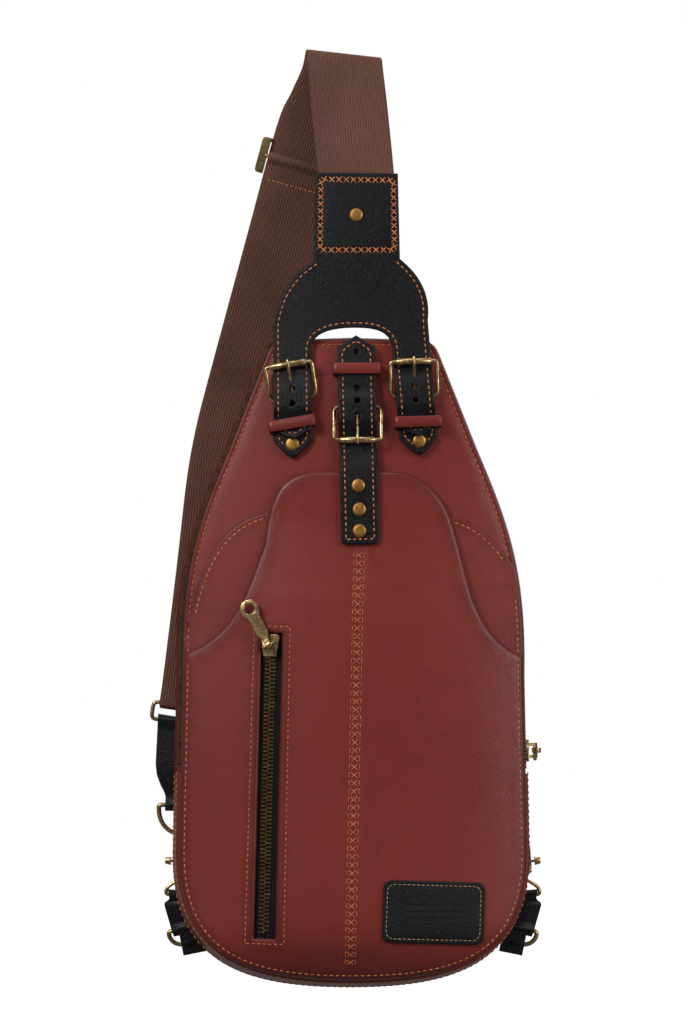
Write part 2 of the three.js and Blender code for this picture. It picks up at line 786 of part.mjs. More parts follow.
// Frame, roller and prong of one buckle, in the frame whose origin is the bar's centre.
function addBuckle(prefix) {
  const frame = buckleFrame(stations[prefix]);
  const reach = buckleHeight / Math.cos(buckleTilt);
  const half = buckleInside / 2 + buckleWire;
  const corner = 3.2;
  const loop = new THREE.Path();
  loop.moveTo(-half + corner, 0);
  loop.lineTo(0, 0);
  loop.lineTo(half - corner, 0);
  loop.quadraticCurveTo(half, 0, half, corner);
  loop.lineTo(half, reach / 2);
  loop.lineTo(half, reach - 1.6);
  loop.quadraticCurveTo(half, reach, half - 1.6, reach);
  loop.lineTo(0, reach);
  loop.lineTo(-half + 1.6, reach);
  loop.quadraticCurveTo(-half, reach, -half, reach - 1.6);
  loop.lineTo(-half, reach / 2);
  loop.lineTo(-half, corner);
  loop.quadraticCurveTo(-half, 0, -half + corner, 0);
  const points = loop.getPoints(3).slice(0, -1).map((p) => vec(p.x, 0, p.y).applyMatrix4(frame));
  const normal = vec(0, 1, 0).transformDirection(frame);
  addPart(`${prefix}_buckle_frame`, wire(points, buckleWire, normal, true, 8), brass());

  const length = buckleInside - 4;
  const rollerAt = new THREE.Matrix4().makeTranslation(0, 0, reach);
  const rollerFrame = frame.clone().multiply(rollerAt).multiply(new THREE.Matrix4().makeRotationY(Math.PI / 2));
  const roller = ring(rollerFrame, vec(0, 0, 0), buckleWire + 0.3, rollerRadius, length / 2);
  addPart(`${prefix}_roller`, roller, brass());
  addPart(`${prefix}_prong`, prongSolid(frame, reach), brass());
}

// The prong loops round the bar, passes up through the strap's hole and rests over the roller.
function prongSolid(frame, reach) {
  const rest = rollerRadius + gap + prongRadius;
  const eye = ring(frame.clone().multiply(new THREE.Matrix4().makeRotationY(Math.PI / 2)), vec(0, 0, 0),
    buckleWire + 0.3, buckleWire + 0.3 + 1.1, 0.9);
  const path = [
    vec(0, -0.1, buckleWire + 1.0),
    vec(0, -0.2, reach * 0.42),
    vec(0, -0.9, reach * 0.6),
    vec(0, -rest + 0.3, reach * 0.84),
    vec(0, -rest - 0.1, reach),
    vec(0, -rest + 0.3, reach + 2.4),
  ].map((point) => point.applyMatrix4(frame));
  const sideways = vec(1, 0, 0).transformDirection(frame);
  return eye.add(wire(path, prongRadius, sideways, false, 8));
}

// Clearance for the prong through the strap, and the slot in the chape's loop.
function prongSlot(frame, reach) {
  return block([2.8, 12, 7.8], [0, -2, reach * 0.55], frame);
}

// A leather strip in strap coordinates, given as a shape, cut from a slab over the front surface.
function leatherSheet(shape, frame, innerLift, outerLift, grid) {
  return slab(innerLift, outerLift, grid).intersect(prism(shape, -60, 60, frame));
}

// Straight strip with a point at its lower end; z = 0 is the buckle bar.
function pointedShape(width, bottom, top, pointTall) {
  const half = width / 2;
  const shape = new THREE.Shape();
  shape.moveTo(0, bottom);
  shape.quadraticCurveTo(half * 0.55, bottom + pointTall * 0.3, half, bottom + pointTall);
  shape.lineTo(half, top);
  shape.lineTo(-half, top);
  shape.lineTo(-half, bottom + pointTall);
  shape.quadraticCurveTo(-half * 0.55, bottom + pointTall * 0.3, 0, bottom);
  return shape;
}

const chapeTip = 29.5;
const strapTip = 20;
const rivetBelow = 22.6;

// The chape holds the buckle: it lies on the bag, its end loops round the bar, and a slot in the
// loop leaves room for the prong.
function addChape(prefix) {
  const station = stations[prefix];
  const strapFrame = surfaceFrame(station.x, station.z, station.strapRoll);
  const frame = buckleFrame(station);
  const long = station.flip > 0;
  const turned = strapFrame.clone();
  if (!long) {
    turned.multiply(new THREE.Matrix4().makeRotationY(Math.PI));
  }
  const shape = long
    ? pointedShape(smallStrap, -chapeTip, -loopRadius * 0.4, 9)
    : pointedShape(smallStrap, -31, -loopRadius * 0.4, 8);
  const grid = { xs: spaced([station.x - 24, station.x + 24, 4]), zs: spaced([station.z - 40, station.z + 40, 4]) };
  const plate = leatherSheet(shape, turned, chapeInner, chapeOuter, grid);
  const halfLoop = smallStrap / 2 - 1.2;
  const left = vec(-halfLoop, 0, 0).applyMatrix4(frame);
  const right = vec(halfLoop, 0, 0).applyMatrix4(frame);
  const outerLoop = bar(left, right, loopRadius, 16);
  const tunnel = bar(left.clone().lerp(right, -0.3), left.clone().lerp(right, 1.3), buckleWire + 0.3, 16);
  const slot = block([3.2, 12, 14], [0, -3, 3.2], frame);
  let chape = plate.add(outerLoop).subtract(tunnel).subtract(slot);
  if (long) {
    chape = chape.subtract(rivetHole(...rivetPlace(prefix)));
  }
  addPart(`${prefix}_chape`, chape, blackLeather());
}

function rivetPlace(prefix) {
  const station = stations[prefix];
  const place = vec(0, 0, -rivetBelow).applyMatrix4(surfaceFrame(station.x, station.z, station.strapRoll));
  return [place.x, place.z];
}

// Rivets: a domed head on a shank that passes through the leather.
const centreRivets = [[2.5, 253], [3.0, 241.2], [3.1, 230.5]];

function rivetHole(x, z) {
  const frame = surfaceFrame(x, z, 0);
  return placedBar(frame, vec(0, -20, 0), vec(0, 0.2, 0), rivetShank + 0.3);
}

function rivet(x, z, seat, reach) {
  const profile = [
    new THREE.Vector2(0, -reach),
    new THREE.Vector2(rivetShank, -reach),
    new THREE.Vector2(rivetShank, 0),
    new THREE.Vector2(rivetHead, 0),
    new THREE.Vector2(rivetHead * 0.94, 0.55),
    new THREE.Vector2(rivetHead * 0.55, 1.1),
    new THREE.Vector2(0, 1.25),
  ];
  const geometry = new THREE.LatheGeometry(profile, 14);
  geometry.rotateX(Math.PI);
  geometry.translate(0, -seat - gap, 0);
  geometry.rotateY(Math.PI);
  return solidFrom(geometry.applyMatrix4(surfaceFrame(x, z, 0)));
}

// The keeper is a flat leather loop round the strap and the chape.
function addKeeper(prefix, along, roll, innerTop) {
  const station = stations[prefix];
  const middle = vec(0, 0, along).applyMatrix4(surfaceFrame(station.x, station.z, station.strapRoll));
  const frame = surfaceFrame(middle.x, middle.z, roll);
  const halfInside = smallStrap / 2 + keeperEase;
  const bottom = gap;
  const outer = keeperLoop(halfInside + keeperThick, bottom, innerTop + keeperThick);
  const inner = keeperLoop(halfInside, bottom + keeperBase, innerTop);
  const shape = new THREE.Shape(outer);
  shape.holes.push(new THREE.Path(inner.reverse()));
  const geometry = new THREE.ExtrudeGeometry(shape, { depth: keeperTall, bevelEnabled: false });
  geometry.translate(0, 0, -keeperTall / 2);
  geometry.scale(1, -1, 1);
  addPart(`${prefix}_keeper`, solidFrom(turnedInsideOut(indexed(geometry)).applyMatrix4(frame)), redLeather());
}

function indexed(geometry) {
  const bare = geometry.clone();
  bare.deleteAttribute("normal");
  bare.deleteAttribute("uv");
  return mergeVertices(bare, 1e-4);
}

function keeperLoop(half, low, high) {
  const corner = 0.8;
  return [
    new THREE.Vector2(-half, low),
    new THREE.Vector2(half, low),
    new THREE.Vector2(half, high - corner),
    new THREE.Vector2(half - corner, high),
    new THREE.Vector2(-half + corner, high),
    new THREE.Vector2(-half, high - corner),
  ];
}

function holesAt(frame, places) {
  return places.map((z) => placedBar(frame, vec(0, -25, z), vec(0, 10, z), strapHole, 10));
}

// The yoke is one black leather piece: a square sewn to the webbing, shoulders that widen, and
// two legs that come down under the rollers to pointed tips.
const yokeTop = 410.5;

function yokeShape() {
  const shape = new THREE.Shape();
  const left = strapEdge("left");
  const right = strapEdge("right");
  shape.moveTo(left.tip.x, left.tip.z);
  shape.lineTo(left.lowInner.x, left.lowInner.z);
  shape.lineTo(left.highInner.x, left.highInner.z);
  shape.bezierCurveTo(left.highInner.x + 2, 330.5, -10, 332.5, 1, 332.5);
  shape.bezierCurveTo(12, 332.5, right.highInner.x - 2, 330.5, right.highInner.x, right.highInner.z);
  shape.lineTo(right.lowInner.x, right.lowInner.z);
  shape.lineTo(right.tip.x, right.tip.z);
  shape.lineTo(right.lowOuter.x, right.lowOuter.z);
  shape.lineTo(right.highOuter.x, right.highOuter.z);
  shape.bezierCurveTo(39.5, 352, 30, 362, 23.5, 367);
  shape.lineTo(22.5, yokeTop - 0.5);
  shape.lineTo(-18.5, yokeTop);
  shape.lineTo(-19.8, 366);
  shape.bezierCurveTo(-28, 361, -37.5, 352, left.highOuter.x, left.highOuter.z);
  shape.lineTo(left.lowOuter.x, left.lowOuter.z);
  shape.closePath();
  return shape;
}

// Corners of one leg: its tip, the shoulders of its point, and its edges at the yoke's arch.
function strapEdge(prefix) {
  const station = stations[prefix];
  const frame = surfaceFrame(station.x, station.z, station.strapRoll);
  const at = (x, z) => vec(x, 0, z).applyMatrix4(frame);
  const inner = prefix === "left" ? 1 : -1;
  const half = smallStrap / 2;
  return {
    tip: at(0, -strapTip),
    lowInner: at(inner * half, -strapTip + 5),
    lowOuter: at(-inner * half, -strapTip + 5),
    highInner: at(inner * half, 27),
    highOuter: at(-inner * half, 38),
  };
}

function yokeInner(x, z) {
  const side = x < 0 ? stations.left : stations.right;
  return strapWave(z - side.z, tipLift);
}

const yokeOuter = (x, z) => yokeInner(x, z) + strapLeather;

const yokeGrid = {
  xs: spaced([-48, 0, 4], [0.1, 48, 4]),
  zs: spaced([270, 276, 1], [276, 283, 3], [283, 287, 1], [287, 294, 5], [301, 324, 9], [324, 415, 4]),
};

function addYoke() {
  const sheet = slab(yokeInner, yokeOuter, yokeGrid).intersect(prism(yokeShape(), -60, 60));
  const cuts = [];
  for (const prefix of ["left", "right"]) {
    const station = stations[prefix];
    const frame = buckleFrame(station);
    cuts.push(prongSlot(frame, buckleHeight / Math.cos(buckleTilt)));
    cuts.push(...holesAt(surfaceFrame(station.x, station.z, station.strapRoll), [5.5, -1.5]));
  }
  cuts.push(yokeRivetHole());
  addPart("yoke_front", cutBy(sheet, cuts), blackLeather());

  const backShape = new THREE.Shape();
  backShape.moveTo(-15.5, 372.5);
  backShape.lineTo(20.5, 372.5);
  backShape.lineTo(19.5, 406.5);
  backShape.lineTo(-16, 407);
  backShape.closePath();
  const patch = slab(webbingInYoke - webbingThick / 2 - gap - strapLeather, webbingInYoke - webbingThick / 2 - gap,
    { xs: [-30, 0, 30], zs: [365, 389, 412] }).intersect(prism(backShape, -60, 60));
  addPart("yoke_back", patch.subtract(yokeRivetHole()), blackLeather());
  addPart("yoke_rivet", rivet(1.6, 388.7, 2.4 + strapLeather, 6.0), brass());
}

function yokeRivetHole() {
  return placedBar(surfaceFrame(1.6, 388.7, 0), vec(0, -20, 0), vec(0, 20, 0), rivetShank + 0.3);
}

// The centre strap is riveted to the pocket front and comes up under the upside-down buckle,
// over its bar, through its keeper to a pointed tip at the bag's top edge.
function addCentreStrap() {
  const station = stations.center;
  const frame = surfaceFrame(station.x, station.z, station.strapRoll);
  const half = smallStrap / 2;
  const top = 36.5;
  const bottom = -68.5;
  const shape = new THREE.Shape();
  shape.moveTo(-half, bottom + 2.5);
  shape.quadraticCurveTo(-half, bottom, -half + 2.5, bottom);
  shape.lineTo(half - 2.5, bottom);
  shape.quadraticCurveTo(half, bottom, half, bottom + 2.5);
  shape.lineTo(half, top - 6);
  shape.lineTo(0, top);
  shape.lineTo(-half, top - 6);
  shape.closePath();
  const inner = (x, z) => {
    const along = station.z - z;
    const low = along > buckleHeight + 6 ? pocketPeak : 0;
    const t = Math.min(Math.max((along - buckleHeight - 3) / 12, 0), 1);
    const wave = strapWave(Math.min(along, buckleHeight), 0);
    return along > buckleHeight + 3 ? wave + (low - wave) * t * t * (3 - 2 * t) : wave;
  };
  const outer = (x, z) => inner(x, z) + strapLeather;
  const grid = {
    xs: spaced([-16, 20, 2]),
    zs: spaced([216, 254, 2], [254, 274, 5], [274, 288, 7], [296, 303, 5], [303, 334, 3]),
  };
  const sheet = leatherSheet(shape, frame, inner, outer, grid);
  const buckle = buckleFrame(station);
  const cuts = centreRivets.map(([x, z]) => rivetHole(x, z));
  cuts.push(prongSlot(buckle, buckleHeight / Math.cos(buckleTilt)));
  cuts.push(...holesAt(frame, [3.6, 9.8, 28.1]));
  addPart("center_strap", cutBy(sheet, cuts), blackLeather());
  centreRivets.forEach(([x, z], i) => {
    addPart(`center_rivet_${i + 1}`, rivet(x, z, pocketPeak + strapLeather, 4.2), brass());
  });
}

// Inner face of the centre strap where it lies on the pocket front.
const pocketPeak = pocketOuter(0, 224) + gap + 0.2;

// ---------------------------------------------------------------- patch
function addPatch() {
  const half = { x: 25.2, z: 15.4 };
  const corner = 4.5;
  const shape = new THREE.Shape();
  shape.moveTo(-half.x + corner, -half.z);
  shape.lineTo(half.x - corner, -half.z);
  shape.quadraticCurveTo(half.x, -half.z, half.x, -half.z + corner);
  shape.lineTo(half.x, half.z - corner);
  shape.quadraticCurveTo(half.x, half.z, half.x - corner, half.z);
  shape.lineTo(-half.x + corner, half.z);
  shape.quadraticCurveTo(-half.x, half.z, -half.x, half.z - corner);
  shape.lineTo(-half.x, -half.z + corner);
  shape.quadraticCurveTo(-half.x, -half.z, -half.x + corner, -half.z);
  const frame = new THREE.Matrix4().makeRotationY(0.035).setPosition(39.8, 0, 42.5);
  const lift = (x, z) => pocketOuter(x, z) + gap;
  const outer = (x, z) => lift(x, z) + 1.1;
  const patch = leatherSheet(shape, frame, lift, outer, { xs: spaced([10, 70, 6]), zs: spaced([20, 38, 3], [38, 64, 1]) });
  addPart("name_patch", patch, blackLeather());
}

// ---------------------------------------------------------------- webbing
const webbingInYoke = 2.4 - 0.5 - gap - webbingThick / 2;
const foldZ = 470.3;
const foldX = -4.2;
const foldFrontY = 2.6;
const strapUpper = vec(-20.4, 13, 429);
const strapLower = vec(-55.6, 38, 301.5);
const strapEnd = vec(-79.4, 36.6, 141);
const ringLean = 0.149;

const acrossAt = (lean) => vec(Math.cos(lean), 0, -Math.sin(lean));

function strapPoint(t) {
  return strapUpper.clone().lerp(strapLower, t);
}

// The stretch below the straight part, as points chosen by hand down to the ring.
function lowerStrap(offset) {
  const points = [
    [-60.8, 38.4, 281],
    [-65.6, 37.6, 255],
    [-70.2, 37.0, 215],
    [-74.6, 36.7, 178],
    [-78.0, 36.6, 151],
  ];
  return points.map(([x, y, z]) => vec(x, y + offset, z));
}

function addWebbing() {
  const points = [];
  const across = [];
  const push = (point, lean) => {
    points.push(point);
    across.push(acrossAt(lean));
  };
  const yokeY = (z) => frontY(2, z) - webbingInYoke;
  push(vec(2.6, yokeY(373), 373), -0.05);
  push(vec(2.4, yokeY(392), 392), -0.07);
  push(vec(1.6, yokeY(409), 409), -0.1);
  push(vec(-1.4, yokeY(409) + 2.2, 440), -0.115);
  push(vec(foldX + 0.6, foldFrontY - 0.4, foldZ - 5), -0.04);
  const foldRadius = 1.6;
  for (let i = 0; i <= 6; i += 1) {
    const angle = (Math.PI * i) / 6;
    const y = foldFrontY + foldRadius * (1 - Math.cos(angle));
    push(vec(foldX - i * 0.15, y, foldZ - 2.3 + foldRadius * Math.sin(angle)), 0.02 + 0.035 * i);
  }
  push(vec(-7.4, foldFrontY + 4.2, 464), 0.27);
  push(vec(-12.6, strapUpper.y + layerOffset - 4.6, 449), 0.3);
  push(strapPoint(0).add(vec(0, layerOffset, 0)), 0.27);
  push(strapPoint(0.5).add(vec(0, layerOffset, 0)), 0.27);
  push(strapPoint(1).add(vec(0, layerOffset, 0)), 0.25);
  lowerStrap(layerOffset).forEach((point, i) => push(point, 0.22 - 0.014 * i));
  // round the ring's upper bar and back up in front
  const wrap = ringWire + gap + 0.1 + webbingThick / 2;
  const steps = 8;
  for (let i = 0; i <= steps; i += 1) {
    const angle = (Math.PI * i) / steps;
    const y = strapEnd.y + wrap * Math.cos(angle);
    push(vec(strapEnd.x, y, strapEnd.z - wrap * Math.sin(angle)), ringLean);
  }
  lowerStrap(-layerOffset).reverse().forEach((point, i) => push(point, 0.164 + 0.014 * i));
  push(strapPoint(1).add(vec(0, -layerOffset, 0)), 0.25);
  addPart("webbing_main", webbing(points, across).subtract(yokeRivetHole()), brownWebbing());
}

// The adjusting slider's frame: local z up the strap, local -y towards the front.
const sliderAlong = 0.11;

function sliderFrame() {
  const up = strapUpper.clone().sub(strapLower).normalize();
  const across = acrossAt(0.27);
  across.addScaledVector(up, -across.dot(up)).normalize();
  const inward = up.clone().cross(across).normalize();
  return new THREE.Matrix4().makeBasis(across, inward, up).setPosition(strapPoint(sliderAlong));
}

// The webbing's free end: from the slider's centre bar down to the sewn stretch above the ring.
function addTail() {
  const frame = sliderFrame();
  const top = vec(0, -layerOffset, -2.2).applyMatrix4(frame);
  const start = strapPoint(1).add(vec(0, -layerOffset, 0));
  const shift = start.clone().sub(top).normalize().multiplyScalar(0.9);
  const end = start.clone().sub(shift);
  const middle = top.clone().lerp(end, 0.5);
  const across = [acrossAt(0.27), acrossAt(0.26), acrossAt(0.25)];
  addPart("webbing_tail", webbing([top, middle, end], across), brownWebbing());
}

// Slider: two flat side bars joined by a centre bar, a lower bar and an upper bar. The running
// webbing passes in front of the upper bar and behind the other two.
function addStrapSlider() {
  const frame = sliderFrame();
  const inside = webbingWidth / 2 + 0.6;
  const outside = 24;
  const side = new THREE.Shape();
  side.moveTo(inside, -9.2);
  side.lineTo(outside - 2, -9.2);
  side.quadraticCurveTo(outside, -9.2, outside, -7.2);
  side.lineTo(outside, 7.2);
  side.quadraticCurveTo(outside, 9.2, outside - 2, 9.2);
  side.lineTo(inside, 9.2);
  side.closePath();
  const mirror = frame.clone().multiply(new THREE.Matrix4().makeRotationY(Math.PI));
  const frontBar = -0.55;
  const plates = [prism(side, frontBar - 1, frontBar + 1, frame)];
  plates.push(solidFrom(prismGeometry(side, -frontBar - 1, -frontBar + 1)
    .applyMatrix4(mirror.clone().multiply(new THREE.Matrix4().makeTranslation(0, 2 * frontBar, 0)))));
  const reach = inside + 1.5;
  const upperY = layerOffset + webbingThick / 2 + gap + 1.1;
  const bars = [placedBar(frame, vec(-reach, -layerOffset, 0), vec(reach, -layerOffset, 0), 0.9)];
  bars.push(placedBar(frame, vec(-reach, upperY, 7.6), vec(reach, upperY, 7.6), 1.1));
  const posts = [-1, 1].map((s) => block([2.4, upperY + 1.6, 2.2], [s * (inside + 1.4), upperY / 2 - 0.2, 7.6], frame));
  addPart("strap_slider", united([...plates, ...bars, ...posts]), brass());
}

// ---------------------------------------------------------------- strap end hardware
const ringTall = 10.8;
const ringWide = 46;

function hangingFrame(origin, lean) {
  return new THREE.Matrix4().makeRotationY(lean).setPosition(origin);
}

// Rectangular ring with rounded ends; its upper bar lies in the webbing's loop.
function addStrapRing() {
  const frame = hangingFrame(strapEnd, ringLean);
  const height = ringTall - 2 * ringWire;
  const half = ringWide / 2 - ringWire;
  const corner = 2.4;
  const loop = new THREE.Path();
  loop.moveTo(-half + corner, 0);
  loop.lineTo(half - corner, 0);
  loop.quadraticCurveTo(half, 0, half, -corner);
  loop.lineTo(half, -height + corner);
  loop.quadraticCurveTo(half, -height, half - corner, -height);
  loop.lineTo(-half + corner, -height);
  loop.quadraticCurveTo(-half, -height, -half, -height + corner);
  loop.lineTo(-half, -corner);
  loop.quadraticCurveTo(-half, 0, -half + corner, 0);
  const points = loop.getPoints(4).slice(0, -1).map((p) => vec(p.x, 0, p.y).applyMatrix4(frame));
  const wholeRing = wire(points, ringWire, vec(0, 1, 0).transformDirection(frame), true, 8);
  addPart("strap_ring", wholeRing, brass());
}

// A folded leather tab: two layers sewn flat, with a rolled eye for a bar at each end. Each eye
// has a frame of its own, because a bar need not lie square to the tab.
function foldedTab(frame, shape, eyes) {
  const below = block([60, 20, 60], [0, 0, -30], eyes[0].frame);
  const flat = prism(shape, -tabLeather, tabLeather, frame).intersect(below);
  const rolls = eyes.map((eye) => placedBar(eye.frame, vec(-eye.half, 0, 0), vec(eye.half, 0, 0),
    eye.bar + gap + tabLeather, 16));
  const tunnels = eyes.map((eye) => placedBar(eye.frame, vec(-60, 0, 0), vec(60, 0, 0), eye.bar + gap, 16));
  return cutBy(united([flat, ...rolls]).intersect(prism(shape, -10, 10, frame)), tunnels);
}

const endTabLean = 0.05;
const endTabLength = 41;

// The ring's lower bar, which the end tab hangs on.
function ringBarFrame() {
  const height = ringTall - 2 * ringWire;
  return hangingFrame(vec(0, 0, -height).applyMatrix4(hangingFrame(strapEnd, ringLean)), ringLean);
}

function endTabFrame() {
  return hangingFrame(vec(0, 0, 0).applyMatrix4(ringBarFrame()), endTabLean);
}

function addEndTab() {
  const shape = new THREE.Shape();
  shape.moveTo(-18.6, 6);
  shape.lineTo(-18.8, -20);
  shape.quadraticCurveTo(-18.4, -27, -12.8, -36);
  shape.lineTo(-12.8, -endTabLength - 3.2);
  shape.lineTo(12.8, -endTabLength - 3.2);
  shape.lineTo(12.8, -36);
  shape.quadraticCurveTo(18.4, -27, 18.8, -20);
  shape.lineTo(18.6, 6);
  shape.closePath();
  const topEye = { frame: ringBarFrame(), half: 19, bar: ringWire };
  const lowEye = { frame: strapDRingFrame(), half: 13, bar: dRingWire };
  const tab = foldedTab(endTabFrame(), shape, [topEye, lowEye]);
  addPart("strap_end_tab", tab, blackLeather());
}

// D-ring: straight bar on top, round bow below.
function dRing(frame, halfWidth, depth) {
  const loop = new THREE.Path();
  loop.moveTo(-halfWidth + 1.5, 0);
  loop.lineTo(halfWidth - 1.5, 0);
  loop.quadraticCurveTo(halfWidth, 0, halfWidth, -1.5);
  loop.bezierCurveTo(halfWidth, -depth * 0.75, halfWidth * 0.55, -depth, 0, -depth);
  loop.bezierCurveTo(-halfWidth * 0.55, -depth, -halfWidth, -depth * 0.75, -halfWidth, -1.5);
  loop.quadraticCurveTo(-halfWidth, 0, -halfWidth + 1.5, 0);
  const points = loop.getPoints(5).slice(0, -1).map((p) => vec(p.x, 0, p.y).applyMatrix4(frame));
  return wire(points, dRingWire, vec(0, 1, 0).transformDirection(frame), true, 8);
}

function strapDRingFrame() {
  const bottom = vec(0, 0, -endTabLength).applyMatrix4(endTabFrame());
  return hangingFrame(bottom, 0.02);
}

const strapDHalf = 15.8;
const strapDDepth = 15.4;

function addStrapDRing() {
  addPart("strap_d_ring", dRing(strapDRingFrame(), strapDHalf, strapDDepth), brass());
}

// Swivel snap: hook, bolt and eye in a frame whose z is the snap's axis and whose origin is the
// body's centre. side is -1 on the bag's left and 1 on its right.
const snapLean = 0.07;
const bodyHalf = 7.5;

function snapFrame(side) {
  const origin = vec(side * 86.6, strapEnd.y, 64);
  return hangingFrame(origin, side < 0 ? snapLean : -snapLean);
}

function addSnap(prefix, side) {
  const frame = snapFrame(side);
  const inner = 3.8;
  const hookRadius = 1.35;
  const tube = [
    new THREE.Vector2(0, -bodyHalf),
    new THREE.Vector2(2.6, -bodyHalf),
    new THREE.Vector2(bodyRadius, -bodyHalf + 0.8),
    new THREE.Vector2(bodyRadius, bodyHalf - 0.8),
    new THREE.Vector2(bodyRadius - 0.6, bodyHalf),
    new THREE.Vector2(0, bodyHalf),
  ];
  const body = new THREE.LatheGeometry(tube, 16);
  body.rotateX(Math.PI / 2);
  const hookPath = [vec(0, 2.2, bodyHalf - 1)];
  const top = bodyHalf + 4.6;
  hookPath.push(vec(0, inner, bodyHalf + 2.6));
  for (let i = 0; i <= 8; i += 1) {
    const angle = (Math.PI * i) / 8;
    hookPath.push(vec(0, inner * Math.cos(angle), top + inner * Math.sin(angle)));
  }
  hookPath.push(vec(0, -inner + 0.5, bodyHalf + 3.4));
  const points = hookPath.map((point) => point.applyMatrix4(frame));
  const sideways = vec(1, 0, 0).transformDirection(frame);
  const hook = wire(points, hookRadius, sideways, false, 8);
  const bore = placedBar(frame, vec(0, boltY, -bodyHalf + 1), vec(0, boltY, bodyHalf + 3), boltRadius + 0.3);
  const knobSlot = block([8, 2.0, 6.6], [side * 4.2, boltY, -2.9], frame);
  const swivelBore = placedBar(frame, vec(0, 0, -bodyHalf - 1), vec(0, 0, -bodyHalf + 1.7), 1.2);
  const whole = cutBy(solidFrom(body.applyMatrix4(frame)).add(hook), [bore, knobSlot, swivelBore]);
  addPart(`${prefix}_snap_body`, whole, brass());

  const boltTop = bodyHalf + 2.6;
  const bolt = placedBar(frame, vec(0, boltY, -2), vec(0, boltY, boltTop), boltRadius);
  const stem = placedBar(frame, vec(0, boltY, -1), vec(side * 6.4, boltY, -1), 0.65);
  const knob = placedBar(frame, vec(side * 5.6, boltY, -1), vec(side * 8.6, boltY, -1), 2.2, 14, 1.6);
  addPart(`${prefix}_snap_bolt`, united([bolt, stem, knob]), brass());

  // Swivel eye: a pin that turns in the body's foot, on a flat loop held by the leather tab.
  const pin = placedBar(frame, vec(0, 0, -bodyHalf + 1.3), vec(0, 0, -bodyHalf - 3.4), 0.85);
  const collar = placedBar(frame, vec(0, 0, -bodyHalf - gap), vec(0, 0, -bodyHalf - 2.2), 1.9);
  const eyeFrame = frame.clone().multiply(new THREE.Matrix4().makeTranslation(0, 0, -bodyHalf - 3.4));
  const path = new THREE.Path();
  path.moveTo(-1.5, 0);
  path.lineTo(1.5, 0);
  path.bezierCurveTo(3, -1, eyeHalf, -3, eyeHalf, -eyeDrop + 1.5);
  path.quadraticCurveTo(eyeHalf, -eyeDrop, eyeHalf - 1.5, -eyeDrop);
  path.lineTo(-eyeHalf + 1.5, -eyeDrop);
  path.quadraticCurveTo(-eyeHalf, -eyeDrop, -eyeHalf, -eyeDrop + 1.5);
  path.bezierCurveTo(-eyeHalf, -3, -3, -1, -1.5, 0);
  const loop = path.getPoints(4).slice(0, -1).map((p) => vec(p.x, 0, p.y).applyMatrix4(eyeFrame));
  const eye = wire(loop, eyeWire, vec(0, 1, 0).transformDirection(frame), true, 8);
  addPart(`${prefix}_snap_eye`, united([pin, collar, eye]), brass());
}

const boltY = -2.1;
const bodyRadius = 4.0;
const boltRadius = 1.0;
const eyeHalf = 7.2;
const eyeDrop = 7.4;
const eyeWire = 0.95;
const cornerTabLean = -0.2;
const cornerTabLength = 17;

// Leather tab between the snap's eye and the D-ring on the bag's lower corner.
function eyeBarFrame(side) {
  const middle = vec(0, 0, -bodyHalf - 3.4 - eyeDrop).applyMatrix4(snapFrame(side));
  return hangingFrame(middle, side < 0 ? snapLean : -snapLean);
}

function cornerTabFrame(side) {
  return hangingFrame(vec(0, 0, 0).applyMatrix4(eyeBarFrame(side)), side < 0 ? cornerTabLean : -cornerTabLean);
}

function cornerRingFrame(side) {
  const lower = vec(0, 0, -cornerTabLength).applyMatrix4(cornerTabFrame(side));
  return hangingFrame(lower, side < 0 ? cornerTabLean : -cornerTabLean);
}

const cornerDHalf = 9.4;
const cornerDDepth = 8.2;

function addCorner(prefix, side) {
  const reach = eyeHalf - 1.8;
  const widthHalf = 9.0;
  const shape = new THREE.Shape();
  shape.moveTo(-reach, 3);
  shape.lineTo(-widthHalf, -3);
  shape.lineTo(-widthHalf + 1.2, -cornerTabLength + 2);
  shape.lineTo(-7.2, -cornerTabLength - 3);
  shape.lineTo(7.2, -cornerTabLength - 3);
  shape.lineTo(widthHalf - 1.2, -cornerTabLength + 2);
  shape.lineTo(widthHalf, -3);
  shape.lineTo(reach, 3);
  shape.closePath();
  const frame = cornerTabFrame(side);
  const topEye = { frame: eyeBarFrame(side), half: reach, bar: eyeWire };
  const lowEye = { frame: cornerRingFrame(side), half: 7.2, bar: dRingWire };
  const tab = foldedTab(frame, shape, [topEye, lowEye]);
  const eyeRoom = [-1, 1].map((s) => block([4.4, 12, 7], [s * (reach + 2.2), 0, 2.4], frame));
  addPart(`${prefix}_tab`, cutBy(tab, eyeRoom), blackLeather());

  const ringFrame = cornerRingFrame(side);
  addPart(`${prefix}_d_ring`, dRing(ringFrame, cornerDHalf, cornerDDepth), brass());

  // The anchor is a leather loop sewn on the back panel; the D-ring's bow runs through it.
  const bow = vec(0, 0, -cornerDDepth).applyMatrix4(ringFrame);
  const loopOuter = dRingWire + gap + 1.1;
  const along = vec(Math.cos(cornerTabLean), 0, side * Math.sin(-cornerTabLean) * -1).normalize();
  const from = bow.clone().addScaledVector(along, -2.4);
  const to = bow.clone().addScaledVector(along, 2.4);
  const roll = bar(from, to, loopOuter, 14);
  const hole = bar(bow.clone().addScaledVector(along, -9), bow.clone().addScaledVector(along, 9), dRingWire + 0.75, 14);
  const footFrame = ringFrame.clone().multiply(new THREE.Matrix4().makeTranslation(0, 0, -cornerDDepth));
  const footBack = bagBackY + gap - bow.y;
  const stemBack = block([4.8, loopOuter + footBack * -1, 1.4], [0, (footBack - loopOuter) / 2 + 0.9, 1.4], footFrame);
  const foot = block([12, 1.4, 12], [-side * 2, footBack + 0.7, 1.2], footFrame);
  addPart(`${prefix}_anchor`, cutBy(united([roll, stemBack, foot]), [hole]), blackLeather());
}

